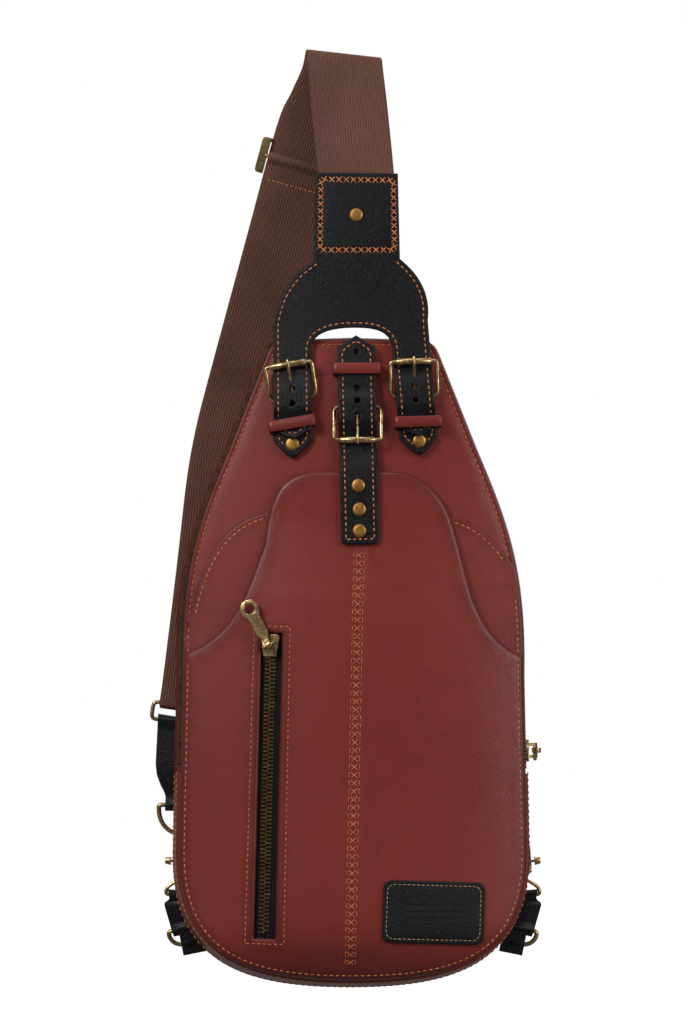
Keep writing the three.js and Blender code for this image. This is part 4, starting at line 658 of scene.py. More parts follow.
def sheet(name, outline, face, back, material, stands_for, slot, holes=(), seams=(), spacing=4.0,
          round_edge=0.6, rows=(0.18, 0.5, 1.1, 2.0), pull=0.3, burnish_and_shade=2.2, burnish_and_shade_most=0.8, soft=0.0,
          shape=None):
    """face and back give y over (x, z). Near the edge the face sinks by
    round - sqrt(round^2 - (round - d)^2), d being the distance to the edge, and under a seam by pull
    times a bell curve. soft lifts a puffed rim a little inside the edge. shape moves finished points,
    as for the back panel's spread."""
    outline, holes, seams = np.asarray(outline), list(holes), list(seams)
    free = spread_points(outline, holes, spacing, rows, seams)
    spots, faces = triangulated(outline, holes, free)
    x, z = spots.T
    away = distance_to(spots, *[closed_line(line) for line in (outline, *holes)])
    out = np.sign(face(x, z) - back(x, z))
    over = np.clip(round_edge - away, 0, round_edge)
    sink = round_edge - np.sqrt(np.maximum(round_edge ** 2 - over ** 2, 0))
    if seams:
        sink = sink + pull * np.exp(-(distance_to(spots, *seams) / 0.75) ** 2)
    if soft:
        sink = sink - soft * np.exp(-((away - 3.0) / 2.0) ** 2) + soft * np.exp(-(away / 1.2) ** 2)
    near = np.stack([x, face(x, z) - out * sink, z], 1)
    far = np.stack([x, back(x, z), z], 1)
    count = len(spots)
    rim = rim_edges(faces)
    wall = np.stack([rim[:, 1], rim[:, 0], rim[:, 0] + count, rim[:, 1] + count], 1)
    if out[0] > 0:
        faces, wall = faces[:, ::-1], wall[:, ::-1]
    # edge weights the darkening near the cut edge: partly burnish, partly painted shade.
    edge = burnish_and_shade_most * np.exp(-(away / burnish_and_shade) ** 2)
    points = np.concatenate([near, far])
    if shape:
        points = shape(points)
    made = make_piece(name, points, [*faces.tolist(), *(faces[:, ::-1] + count).tolist(), *wall.tolist()],
                      material, stands_for, edge=np.r_[edge, edge])
    print(f"{name}: {len(made.data.polygons)} faces")
    return made


def over_front(height):
    """The y of a face that lies the given height above the front surface."""
    return lambda x, z: front_y(x, z) - height(x, z)


def lower_part(curve):
    """The bag's outline below an open curve that crosses it from right to left."""
    curve = evenly(curve, 2.0)
    curve = curve[inside(curve, OUTLINE)]
    right = OUTLINE[(OUTLINE[:, 0] > 0) & (OUTLINE[:, 1] < curve[0, 1] - 1)]
    left = OUTLINE[(OUTLINE[:, 0] <= 0) & (OUTLINE[:, 1] < curve[-1, 1] - 1)]
    order = right[:, 0] * 0.001 + np.where(right[:, 1] > 71, right[:, 1] + 200, right[:, 0])
    right = right[np.argsort(order)]
    left = left[left[:, 0] < -0.01]
    order = np.where(left[:, 1] > 71, left[:, 1] + 200, -left[:, 0])
    left = left[np.argsort(-order)]
    return np.concatenate([[(0.0, 8.0)], right, curve, left])


print("sheet helpers ready")

# %% [markdown]
# ## Stitches
#
# A stitch is a short stretch of thread, thick in the middle, whose two ends dive into the leather.
# Hundreds are needed, so one small capsule is copied to every place as a single array.

# %% Stitch rows
def capsule(length, radius):
    """A stretched bead along x. Its radius is R sqrt(1 - t^4), and its ends bend down into the leather."""
    sides, rings = 6, 5
    t = np.linspace(-1, 1, rings) * 0.98
    angle = np.arange(sides) * 2 * math.pi / sides
    size = radius * np.sqrt(1 - t ** 4)
    x = np.repeat(t * length / 2, sides)
    y = np.outer(size, np.cos(angle)).ravel()
    z = (np.outer(size, np.sin(angle)) - radius * 1.1 * (t ** 2)[:, None]).ravel()
    k = np.arange(sides)
    quads = [np.stack([i * sides + k, i * sides + (k + 1) % sides, (i + 1) * sides + (k + 1) % sides,
                       (i + 1) * sides + k], 1)[:, ::-1] for i in range(rings - 1)]
    caps = [k.tolist(), (k[::-1] + (rings - 1) * sides).tolist()]
    return np.stack([x, y, z], 1), np.concatenate(quads), caps


def stitches(name, places, along, normals, material, node_name, slot, length=2.4, radius=0.34, lift=0.12):
    """One capsule at each place, its x along the seam and its z along the normal."""
    base, quads, caps = capsule(length, radius)
    along = along - normals * (along * normals).sum(1)[:, None]
    along = along / np.linalg.norm(along, axis=1)[:, None]
    side = np.cross(normals, along)
    points = (places[:, None] + lift * normals[:, None] + base[None, :, 0, None] * along[:, None]
              + base[None, :, 1, None] * side[:, None] + base[None, :, 2, None] * normals[:, None])
    step = (np.arange(len(places)) * len(base))[:, None, None]
    faces = (quads[None] + step).reshape(-1, 4).tolist()
    for cap in caps:
        faces += (np.array(cap)[None] + step[:, 0]).tolist()
    return make_piece(name, points.reshape(-1, 3), faces, material, [node_name],
                      rides=BODY_OF[node_name], smooth=80)


def seam_over_front(name, lines, height, material, node_name, slot, pitch=3.1, cross=0.0, **sizes):
    """A row of stitches over the front surface. cross turns pairs of stitches into crosses."""
    spots, heading = [], []
    for line in lines:
        rail = evenly(line, pitch, keep=60)
        rail = (rail[:-1] + rail[1:]) / 2
        run = headings(rail)
        if cross:
            normal = np.stack([-run[:, 1], run[:, 0]], 1)
            spots += [rail, rail]
            heading += [run * pitch * 0.5 + normal * cross / 2, run * pitch * 0.5 - normal * cross / 2]
        else:
            spots.append(rail)
            heading.append(run)
    x, z = np.concatenate(spots).T
    run = np.concatenate(heading)
    normals = slopes(x, z, height)
    places = np.stack([x, front_y(x, z) - height(x, z), z], 1)
    along = np.stack([run[:, 0], np.zeros(len(run)), run[:, 1]], 1)
    return stitches(name, places, along, normals, material, node_name, slot, **sizes)


# %% [markdown]
# ## The bag's front panels
#
# Three layers of burgundy hide make the front: the full panel, the pocket's backing, whose two
# rounded ears show at the sides, and the pocket front, shaped like a bottle, whose turned edge is
# soft and darkened by a wide band of painted shade and burnish. All three are sewn together round the
# edge in one orange seam.

# %% Front panel, pocket backing and pocket front
SEAM_IN = 2.6
edge_seam = offset_in(OUTLINE, SEAM_IN)
edge_line = closed_line(edge_seam)

sheet("front_leather", OUTLINE, over_front(level(0)), over_front(level(-HIDE)), RED_LEATHER, ["front_panel"],
      "red_leather", seams=[edge_line], spacing=5.0)

ears = run_of((100, 190), (80, 205, 76, 235, 45, 239), (-38, 241),
              (-70, 238, -79, 205, -83, 180), (-100, 170))
ear_outline = lower_part(ears)
sheet("pocket_backing_leather", ear_outline, over_front(level(CLEAR + POCKET_HIDE)), over_front(level(CLEAR)),
      RED_LEATHER, ["pocket_backing"], "red_leather", spacing=6.0, burnish_and_shade=2.6, burnish_and_shade_most=0.9)

bottle = run_of((100, 165), (80.5, 170.5), (60, 182, 58, 205, 52, 226), (48, 244, 40, 258, 22, 260.5),
                (-22, 260.5), (-38, 258, -42, 246, -44.5, 224), (-52, 205, -56, 184, -79, 172), (-100, 165))
bottle_outline = lower_part(bottle)

ZIP_TOP, ZIP_LOW = np.array([-40.3, 179.3]), np.array([-43.8, 30.5])
ZIP_LONG = float(np.linalg.norm(ZIP_TOP - ZIP_LOW))
zip_up = (ZIP_TOP - ZIP_LOW) / ZIP_LONG
zip_across = np.array([zip_up[1], -zip_up[0]])


def in_zip(across, along):
    """Points of the XZ plane from places across and along the front zip."""
    across, along = np.broadcast_arrays(np.asarray(across, float), np.asarray(along, float))
    return ZIP_LOW + across[..., None] * zip_across + along[..., None] * zip_up


def zip_box(half_low, half_high, below, above):
    """A closed four-sided outline round the zip, counter-clockwise."""
    return in_zip([-half_low, half_low, half_high, -half_high],
                  [-below, -below, ZIP_LONG + above, ZIP_LONG + above])


slot_outline = evenly(zip_box(5.2, 5.0, 1.0, 1.0), 2.0, closed=True)
zip_frame = zip_box(9.6, 8.9, 3.6, 4.4)
inner_edge = edge_seam[(edge_seam[:, 1] < 166)]
low_seam = inner_edge[np.argsort(np.arctan2(inner_edge[:, 0], 60 - inner_edge[:, 1]))]
cross_seam = np.array([(2.9, 221.0), (-1.5, 15.5)])

# The pocket front's wide dark edge band is painted shade along its turned edge, with burnish.
sheet("pocket_front_leather", bottle_outline, over_front(pocket_outer), over_front(pocket_inner), RED_LEATHER,
      ["pocket_front"], "red_leather", holes=[slot_outline], spacing=3.6, round_edge=1.1,
      seams=[low_seam, evenly(closed_line(zip_frame), 2.5), evenly(cross_seam + [2.3, 0], 3.0),
             evenly(cross_seam - [2.3, 0], 3.0)],
      rows=(0.25, 0.7, 1.3, 2.2), burnish_and_shade=4.6, burnish_and_shade_most=0.85, soft=0.35, pull=0.34)

seam_over_front("pocket_edge_stitches", [low_seam], pocket_outer, ORANGE_THREAD, "pocket_front",
                "red_leather")
high_edge = edge_seam[edge_seam[:, 1] > 168]
right_high = high_edge[high_edge[:, 0] > 0]
left_high = high_edge[high_edge[:, 0] < 0]
above_ears = [right_high[right_high[:, 1] > 199], left_high[left_high[:, 1] > 184]]
seam_over_front("panel_edge_stitches", above_ears, level(0), RUST_THREAD, "front_panel", "red_leather")
right_ear, left_ear = right_high[right_high[:, 1] <= 199], left_high[left_high[:, 1] <= 184]
seam_over_front("ear_side_stitches", [right_ear, left_ear], level(CLEAR + POCKET_HIDE), ORANGE_THREAD,
                "pocket_backing", "red_leather")
ear_curve = evenly(ears, 1.0)
ear_curve = ear_curve[inside(ear_curve, offset_in(OUTLINE, 3.0))]
ear_seam = offset_in(ear_curve, 2.6, closed=False)
seam_over_front("ear_stitches", [ear_seam[ear_seam[:, 0] > 50], ear_seam[ear_seam[:, 0] < -44]],
                level(CLEAR + POCKET_HIDE), ORANGE_THREAD, "pocket_backing", "red_leather")
seam_over_front("centre_cross_stitches", [cross_seam], pocket_outer, RUST_THREAD, "pocket_front",
                "red_leather", pitch=4.0, cross=4.6, length=5.6, radius=0.3)
for number, side in enumerate((-2.5, 2.5)):
    seam_over_front(f"centre_edge_stitches_{number + 1}", [cross_seam + [side, 0]], pocket_outer, RUST_THREAD,
                    "pocket_front", "red_leather", pitch=4.0, length=3.4, radius=0.26)
seam_over_front("zip_frame_stitches", [closed_line(zip_frame)], pocket_outer, RUST_THREAD, "pocket_front",
                "red_leather", pitch=2.8, length=2.1)

# %% [markdown]
# ## The walls, the back and the main zip
#
# The bag's side is a band of leather that follows the outline: one wide wall round the bottom, and
# above it a narrow strip behind the main zip. A band is a small section carried along the outline.
# The bag also spreads a little towards its back, and every point of the wall takes part in that.

# %% Bands that follow the outline
BACK_GROWTH, BACK_SKEW, WALL_TOP = 0.022, -1.5, 111.0
TAPE, CHAIN = 8.5, 5.2
WALL_BACK = BACK_Y - 2.6 - CLEAR


def spread(points):
    """Scales x and z about the top by 1 + 0.022 times the share of the way back, and leans left."""
    back = (points[:, 1] - LOW_EDGE_Y) / (BACK_Y - LOW_EDGE_Y)
    scale = 1 + BACK_GROWTH * back
    return np.stack([points[:, 0] * scale + BACK_SKEW * np.maximum(back, 0), points[:, 1],
                     BAG_TOP + (points[:, 2] - BAG_TOP) * scale], 1)


def outline_from(height, above, step):
    """The stretch of the outline above the height, or below it, from one side to the other."""
    fine = bag_outline(0.5)
    turned = np.roll(fine, -int(np.argmax(fine[:, 1] if not above else -fine[:, 1])), 0)
    keep = turned[:, 1] >= height if above else turned[:, 1] <= height
    return evenly(turned[keep], step, keep=75)


def swept(section, line, near, far):
    """Points of a section (inwards, share of the depth) carried along the line, and its quad faces."""
    along = headings(line)
    inward = np.stack([-along[:, 1], along[:, 0]], 1)
    spots = line[:, None] + section[None, :, :1] * inward[:, None]
    x, z = spots[..., 0], spots[..., 1]
    y = near(x, z) + section[None, :, 1] * (far(x, z) - near(x, z))
    points = spread(np.stack([x, y, z], 2).reshape(-1, 3))
    return points, tube_faces(len(line), len(section), flip=True)


def behind(depth):
    """The y of a face that lies the given depth behind the front surface."""
    return lambda x, z: front_y(x, z) + depth


def flat(y):
    """A face with the same y everywhere."""
    return lambda x, z: x * 0 + y


def band(name, section, line, near, far, material, node_name, edge_of=None, uv=False):
    """A section carried along the outline, as one piece. Its UV is across and along, in metres."""
    section = np.asarray(section, float)
    points, faces = swept(section, line, near, far)
    edge = None if edge_of is None else np.tile(edge_of, len(line))
    grain = None
    if uv:
        way = np.r_[0, np.cumsum(np.linalg.norm(np.diff(line, axis=0), axis=1))] * MM
        depth = np.broadcast_to(section[:, 1] * 0.01 + section[:, 0] * MM, (len(line), len(section)))
        grain = np.stack([depth, np.broadcast_to(way[:, None], depth.shape)], 2).reshape(-1, 2)
    made = make_piece(name, points, outward_faces(points, faces), material, [node_name],
                      edge=edge, uv=grain)
    print(f"{name}: {len(made.data.polygons)} faces")


def rounded_wall(outer, inner, depth, radius):
    """A wall section with its two outer corners rounded."""
    turn = np.linspace(0, math.pi / 2, 4)
    share = radius / depth
    front = [(outer + radius * (1 - math.sin(a)), share * (1 - math.cos(a))) for a in turn]
    middle = [(outer, t) for t in np.linspace(0.15, 0.85, 7)]
    rear = [(outer + radius * (1 - math.cos(a)), 1 - share * (1 - math.sin(a))) for a in turn]
    return np.array([*front, *middle, *rear, (inner, 1.0), (inner, 0.0)])


# %% Lower wall, upper strip and back panel
PROUD, WALL_HIDE, BACK_HIDE, WALL_DEPTH, STRIP_DEPTH = 1.4, 1.8, 2.6, 46.0, 20.0
WALL_FRONT = HIDE + CLEAR + 0.15
far_wall = flat(WALL_BACK)
low_line = outline_from(WALL_TOP, False, 3.0)
high_line = outline_from(WALL_TOP + CLEAR, True, 3.0)


def burnish_and_shade_of(section, depth, reach):
    """A bell curve of the distance to the nearer of the section's front and back edges."""
    # Weight of the edge darkening where the wall meets front and back: burnish and painted shade.
    return 0.45 * np.exp(-(np.minimum(section[:, 1], 1 - section[:, 1]) * depth / reach) ** 2)


wall = rounded_wall(-PROUD, WALL_HIDE - PROUD, WALL_DEPTH, radius=0.7)
band("lower_wall_leather", wall, low_line, behind(WALL_FRONT), far_wall, RED_LEATHER, "lower_gusset",
     edge_of=burnish_and_shade_of(wall, WALL_DEPTH, 2.0))
chain_start = HIDE + CLEAR + TAPE
strip = rounded_wall(0.0, WALL_HIDE, STRIP_DEPTH, radius=0.6)
band("upper_strip_leather", strip, high_line, behind(chain_start + CHAIN + TAPE + CLEAR), far_wall,
     RED_LEATHER, "upper_gusset", edge_of=burnish_and_shade_of(strip, STRIP_DEPTH, 1.6))
back_outline = offset_in(OUTLINE, -PROUD)
back_seam = closed_line(offset_in(OUTLINE, 1.4))
sheet("back_leather", back_outline, flat(BACK_Y), flat(BACK_Y - BACK_HIDE), RED_LEATHER, ["back_panel"],
      "red_leather", seams=[back_seam], spacing=6.0, shape=spread)

# %% Stitches on the walls and the back
def on_wall(line, share):
    """Points on the wall at shares of its depth: one row of them for each point of the line."""
    section = np.stack([np.full(len(share), -PROUD), share], 1)
    points, _ = swept(section, line, behind(WALL_FRONT), far_wall)
    return points.reshape(len(line), len(share), 3)


for name, share in (("front", 0.06), ("back", 0.94)):
    rail = evenly(low_line, 3.1)
    points = on_wall(rail, [share])[:, 0]
    run = headings(rail)
    outward = np.stack([run[:, 1], np.zeros(len(run)), -run[:, 0]], 1)
    stitches(f"lower_wall_{name}_stitches", points, headings(points), outward, ORANGE_THREAD, "lower_gusset",
             "red_leather")
for number, stretch in ((1, low_line[:3]), (2, low_line[-3:])):
    points = on_wall(stretch, np.linspace(0.05, 0.95, 15))[1]
    run = headings(stretch)[1]
    outward = np.tile([run[1], 0.0, -run[0]], (len(points), 1))
    stitches(f"wall_end_stitches_{number}", points, headings(points), outward, ORANGE_THREAD, "lower_gusset",
             "red_leather", length=2.2)
back_rail = evenly(closed_line(offset_in(OUTLINE, 1.4)), 3.1)
back_spots = spread(np.stack([back_rail[:, 0], back_rail[:, 0] * 0 + BACK_Y, back_rail[:, 1]], 1))
stitches("back_edge_stitches", back_spots, headings(back_spots),
         np.tile([0.0, 1.0, 0.0], (len(back_rail), 1)), ORANGE_THREAD, "back_panel", "red_leather")
print("wall seams sewn")

# %% [markdown]
# ## Zips
#
# A zip is two woven tapes with a row of small brass teeth each, set half a step apart so that they
# mesh. One tooth is a small block with chamfered edges, copied along the chain as one array.

# %% Teeth
def teeth(name, places, across, out, along, node_name, long, tall, thick):
    """A chamfered box of 16 points at each place: long across the chain, tall along it, thick outwards."""
    u = np.array([-0.62, 0.62, 0.62, -0.62, -1, 1, 1, -1, -1, 1, 1, -1, -0.8, 0.8, 0.8, -0.8]) / 2
    v = np.array([0.42, 0.42, -0.42, -0.42, 0.5, 0.5, -0.5, -0.5, 0.5, 0.5, -0.5, -0.5, 0.5, 0.5, -0.5, -0.5])
    w = np.array([1.0] * 4 + [0.72] * 4 + [0.0] * 4 + [-0.1] * 4)
    base = (u[:, None, None] * long * across[None] + v[:, None, None] * tall * along[None]
            + w[:, None, None] * thick * out[None])
    points = (base + places[None]).transpose(1, 0, 2)
    faces = [[0, 1, 2, 3], [15, 14, 13, 12]]
    for level_at in (0, 4, 8):
        for k in range(4):
            m = (k + 1) % 4
            faces.append([level_at + k, level_at + 4 + k, level_at + 4 + m, level_at + m])
    step = np.arange(len(places)) * 16
    faces = np.array(outward_faces(points[0], faces))
    everything = (faces[None] + step[:, None, None]).reshape(-1, 4)
    make_piece(name, points.reshape(-1, 3), everything.tolist(), TOOTH_BRASS, [node_name],
               rides=BODY_OF[node_name], smooth=30)


TOOTH_PITCH = 1.93
TAPE_SECTION = [(0.5, 0), (0.5, 0.98), (0.7, 1.0), (1.4, 1.0), (1.4, 0)]
mid_front = behind(chain_start + CHAIN / 2 - 0.35)
mid_back = behind(chain_start + CHAIN / 2 + 0.35)
far_tape = behind(chain_start + CHAIN + TAPE)
band("main_tape_front_cloth", TAPE_SECTION, high_line, behind(WALL_FRONT), mid_front, ZIP_TAPE,
     "main_zip_tape_front", uv=True)
band("main_tape_back_cloth", [(x, 1 - y) for x, y in TAPE_SECTION], high_line, mid_back, far_tape, ZIP_TAPE,
     "main_zip_tape_back", uv=True)


def main_teeth(name, shift, offset, node_name):
    """Teeth along the outline, each row a little to one side of the chain's middle."""
    rail = evenly(high_line, 0.5, keep=75)
    way = np.r_[0, np.cumsum(np.linalg.norm(np.diff(rail, axis=0), axis=1))]
    marks = np.arange(3 + shift, way[-1] - 3, TOOTH_PITCH)
    line = np.stack([np.interp(marks, way, rail[:, k]) for k in (0, 1)], 1)
    run = np.stack([np.interp(marks, way, headings(rail)[:, k]) for k in (0, 1)], 1)
    out = np.stack([run[:, 1], np.zeros(len(run)), -run[:, 0]], 1)
    x, z = (line + 0.45 * np.stack([-run[:, 1], run[:, 0]], 1)).T
    points = spread(np.stack([x, behind(chain_start + CHAIN / 2 + offset)(x, z), z], 1))
    across = np.tile([0.0, 1.0, 0.0], (len(points), 1))
    along = np.stack([run[:, 0], np.zeros(len(run)), run[:, 1]], 1)
    teeth(name, points, across, out, along, node_name, long=3.2, tall=0.85, thick=1.5)


main_teeth("main_teeth_front", 0.0, -0.8, "main_zip_tape_front")
main_teeth("main_teeth_back", TOOTH_PITCH / 2, 0.8, "main_zip_tape_back")


# %% The front zip's tapes and teeth
TAPE_LIFT = 2 * CLEAR + POCKET_HIDE + 0.5


def flat_tape(name, side, node_name):
    """One tape: a thin sheet beside the chain, turned up into a bead at its inner edge."""
    profile = np.array([(0.55, 0.9), (0.8, 1.35), (1.6, 1.4), (2.4, 1.0), (3.2, 0.8), (8.4, 0.8), (8.5, 0.0),
                        (0.6, 0.0)])
    along = np.linspace(-3, ZIP_LONG + 3, 60)
    spots = in_zip(side * profile[None, :, 0], along[:, None])
    y = front_y(spots[..., 0], spots[..., 1]) - TAPE_LIFT - profile[None, :, 1]
    points = np.stack([spots[..., 0], y, spots[..., 1]], 2).reshape(-1, 3)
    faces = outward_faces(points, tube_faces(len(along), len(profile), flip=True))
    uv = np.stack(np.broadcast_arrays(profile[None, :, 0] * MM, along[:, None] * MM), 2).reshape(-1, 2)
    make_piece(name, points, faces, ZIP_TAPE, [node_name], uv=uv)


for side, word in ((-1, "left"), (1, "right")):
    flat_tape(f"front_tape_{word}_cloth", side, f"front_zip_tape_{word}")
    marks = np.arange(2.2 + (TOOTH_PITCH / 2 if side > 0 else 0), ZIP_LONG - 6, TOOTH_PITCH)
    spots = in_zip(side * 1.2, marks)
    normal = slopes(*spots.T)
    up = np.tile([zip_up[0], 0.0, zip_up[1]], (len(marks), 1))
    places = np.stack([spots[:, 0], front_y(*spots.T), spots[:, 1]], 1) + normal * (TAPE_LIFT + 1.0)
    teeth(f"front_teeth_{word}", places, np.cross(normal, up) * side, normal, up, f"front_zip_tape_{word}",
          long=2.8, tall=0.85, thick=1.0)
print("zips made")

# %% [markdown]
# ## Black straps
#
# The yoke, the straps and the chapes that hold the buckles are black hide cut in strips. A strap that
# runs over a buckle rises over the bar's loop and dips under the roller, so its height above the bag
# is a row of smooth steps along its length.

# %% Strap heights
BUCKLE_TALL, WIRE, ROLLER_R, PRONG_R = 17.0, 1.0, 1.75, 0.75
CHAPE_IN = CLEAR + 0.6 + CLEAR
CHAPE_OUT = CHAPE_IN + 1.8
BAR_LIFT = CHAPE_IN + 1.1 + WIRE
LOOP_R = WIRE + 0.3 + 1.1
OVER_LOOP = BAR_LIFT + LOOP_R + CLEAR
ROLLER_LIFT = 2.2 + STRAP_HIDE + CLEAR + ROLLER_R
STATIONS = {
    "left": dict(x=-30.2, z=296.5, roll=0.015, frame_roll=0.15, shift=0.8, flip=1),
    "right": dict(x=31.0, z=298.0, roll=0.07, frame_roll=0.03, shift=-0.6, flip=1),
    "center": dict(x=2.2, z=292.5, roll=0.02, frame_roll=0.0, shift=0.0, flip=-1),
}


def eased(value, stops):
    """Heights joined by smooth steps: between two stops, low + (high - low) t^2 (3 - 2 t)."""
    at, height = np.array(stops).T
    k = np.clip(np.searchsorted(at, value), 1, len(at) - 1)
    t = np.clip((value - at[k - 1]) / (at[k] - at[k - 1]), 0, 1)
    return height[k - 1] + (height[k] - height[k - 1]) * t * t * (3 - 2 * t)


def strap_wave(along, lift):
    """Inner face of a strap measured from its buckle's bar towards the roller."""
    return eased(along, [(-40, CHAPE_OUT + CLEAR + lift), (-18.8, CHAPE_OUT + CLEAR + lift),
                         (-15.6, CHAPE_OUT + CLEAR), (-9, CHAPE_OUT + CLEAR), (-5, OVER_LOOP), (5, OVER_LOOP),
                         (BUCKLE_TALL, 2.2), (BUCKLE_TALL + 8, 2.4), (400, 2.4)])


def surface_frame(x, z, roll):
    """Columns across, inward and up of a frame that lies on the front, turned by roll, and its origin."""
    slope_x = (front_y(x + 8, z) - front_y(x - 8, z)) / 16
    slope_z = (front_y(x, z + 10) - front_y(x, z - 10)) / 20
    across = np.array([1, slope_x, 0]) / math.hypot(1, slope_x)
    up = np.array([0, slope_z, 1.0])
    up -= across * (up @ across)
    up /= np.linalg.norm(up)
    inward = np.cross(up, across)
    c, s = math.cos(-roll), math.sin(-roll)
    basis = np.stack([across, inward, up], 1) @ np.array([[c, 0, s], [0, 1, 0], [-s, 0, c]])
    return basis, np.array([x, float(front_y(x, z)), z])


def put(frame_of, points):
    """Points of a frame in the drawing."""
    basis, origin = frame_of
    return np.asarray(points, float) @ basis.T + origin


def moved(frame_of, shift, turn_y=0.0, turn_x=0.0):
    """The frame shifted in its own axes and then turned about its own y or x."""
    basis, origin = frame_of
    c, s = math.cos(turn_y), math.sin(turn_y)
    about_y = np.array([[c, 0, s], [0, 1, 0], [-s, 0, c]])
    c, s = math.cos(turn_x), math.sin(turn_x)
    about_x = np.array([[1, 0, 0], [0, c, -s], [0, s, c]])
    return basis @ about_y @ about_x, origin + basis @ np.asarray(shift, float)


BUCKLE_TILT = math.atan2(ROLLER_LIFT - BAR_LIFT, BUCKLE_TALL)
REACH = BUCKLE_TALL / math.cos(BUCKLE_TILT)


def strap_frame(prefix):
    """Lies on the front under the strap, its origin below the buckle's bar."""
    s = STATIONS[prefix]
    return surface_frame(s["x"], s["z"], s["roll"])


def buckle_frame(prefix):
    """Its x is the buckle's bar and its z points to the roller."""
    s = STATIONS[prefix]
    frame_of = moved(surface_frame(s["x"], s["z"], s["frame_roll"]), (s["shift"], -BAR_LIFT, 0))
    return moved(frame_of, (0, 0, 0), turn_y=math.pi if s["flip"] < 0 else 0.0, turn_x=BUCKLE_TILT)


def xz(points):
    """The drawing's x and z of points in space."""
    return np.asarray(points)[:, [0, 2]]


def strap_holes(prefix, ups):
    """Round holes on the strap's middle line, at heights above the buckle's bar."""
    angle = np.arange(14) * 2 * math.pi / 14
    ring = 1.35 * np.stack([np.cos(angle), np.sin(angle)], 1)
    return [spot + ring for spot in xz(put(strap_frame(prefix), [(0, 0, up) for up in ups]))]


def prong_slot(prefix):
    """The oblong hole that the prong comes up through."""
    half, low, high = 1.2, 3.2, 9.0
    corners = [(-half, 0, low), (half, 0, low), (half, 0, high), (-half, 0, high)]
    spots = xz(put(buckle_frame(prefix), corners))
    area = (spots[:, 0] * np.roll(spots[:, 1], -1) - np.roll(spots[:, 0], -1) * spots[:, 1]).sum()
    return evenly(spots if area > 0 else spots[::-1], 1.2, closed=True)


print("buckle tilt", round(math.degrees(BUCKLE_TILT), 1), "degrees")

# %% The yoke
def strap_corner(prefix, side, up):
    """A point of the XZ plane beside a small strap's middle line, at a height above the buckle's bar."""
    return xz(put(strap_frame(prefix), [(side, 0, up)]))[0]


HALF_STRAP, TIP, YOKE_TOP = 9.5, 20.0, 410.5
left_in, right_in = strap_corner("left", HALF_STRAP, 27), strap_corner("right", -HALF_STRAP, 27)
left_out, right_out = strap_corner("left", -HALF_STRAP, 38), strap_corner("right", HALF_STRAP, 38)
yoke_line = run_of(
    strap_corner("left", 0, -TIP), strap_corner("left", HALF_STRAP, 5 - TIP), left_in,
    (left_in[0] + 2, 330.5, -10, 332.5, 1, 332.5), (12, 332.5, right_in[0] - 2, 330.5, *right_in),
    strap_corner("right", -HALF_STRAP, 5 - TIP), strap_corner("right", 0, -TIP),
    strap_corner("right", HALF_STRAP, 5 - TIP), right_out, (39.5, 352, 30, 362, 23.5, 367),
    (22.5, YOKE_TOP - 0.5), (-18.5, YOKE_TOP), (-19.8, 366), (-28, 361, -37.5, 352, *left_out),
    strap_corner("left", -HALF_STRAP, 5 - TIP))
yoke_outline = evenly(yoke_line, 1.6, closed=True)


def yoke_inner(x, z):
    """Each half of the yoke follows its own buckle's wave."""
    return np.where(x < 0, strap_wave(z - 296.5, 1.4), strap_wave(z - 298.0, 1.4))


def yoke_outer(x, z):
    return yoke_inner(x, z) + STRAP_HIDE


yoke_seam = evenly(offset_in(yoke_outline, 2.4), 1.6, closed=True)
yoke_seam = closed_line(yoke_seam[distance_to(yoke_seam, closed_line(yoke_outline)) > 2.1])
below_square = yoke_seam[yoke_seam[:, 1] < 366]
square = np.array([(-16.5, 371.5), (20.8, 371.5), (20.2, 406.5), (-16.0, 407.0)])
yoke_holes = [*strap_holes("left", (5.6, -2.0)), *strap_holes("right", (5.5, -1.7))]
STRAP_EDGE = dict(rows=(0.2, 0.6, 1.2), burnish_and_shade_most=0.4)
sheet("yoke_leather", yoke_outline, over_front(yoke_outer), over_front(yoke_inner), BLACK_LEATHER,
      ["yoke_front"], "black_leather", holes=yoke_holes, spacing=3.0,
      seams=[evenly(closed_line(square), 2.5)], **STRAP_EDGE)
cut = np.flatnonzero(np.linalg.norm(np.diff(below_square, axis=0), axis=1) > 5)
runs = np.split(below_square, cut + 1)
seam_over_front("yoke_edge_stitches", [run for run in runs if len(run) > 4], yoke_outer, ORANGE_THREAD,
                "yoke_front", "black_leather", pitch=3.0, length=2.3)
seam_over_front("yoke_square_stitches", [closed_line(square)], yoke_outer, ORANGE_THREAD, "yoke_front",
                "black_leather", pitch=3.6, cross=3.6, length=4.6, radius=0.3)
patch_back = np.array([(-15.5, 372.5), (20.5, 372.5), (19.5, 406.5), (-16, 407)])
IN_YOKE = 2.4 - 0.5 - CLEAR - 0.7
sheet("yoke_back_leather", evenly(patch_back, 1.6, closed=True),
      over_front(level(IN_YOKE - 0.7 - CLEAR - STRAP_HIDE)), over_front(level(IN_YOKE - 0.7 - CLEAR)),
      BLACK_LEATHER, ["yoke_back"], "black_leather")

# %% Centre strap and chapes
CENTRE_RIVETS = [(2.5, 253.0), (3.0, 241.2), (3.1, 230.5)]
POCKET_PEAK = float(pocket_outer(np.array(0.0), np.array(224.0))) + CLEAR + 0.2


def centre_inner(x, z):
    """Follows the buckle's wave, then settles on to the pocket front."""
    along = 292.5 - z
    t = np.clip((along - BUCKLE_TALL - 3) / 12, 0, 1)
    wave = strap_wave(np.minimum(along, BUCKLE_TALL), 0.0)
    low = np.where(along > BUCKLE_TALL + 6, POCKET_PEAK, 0.0)
    return np.where(along > BUCKLE_TALL + 3, wave + (low - wave) * t * t * (3 - 2 * t), wave)


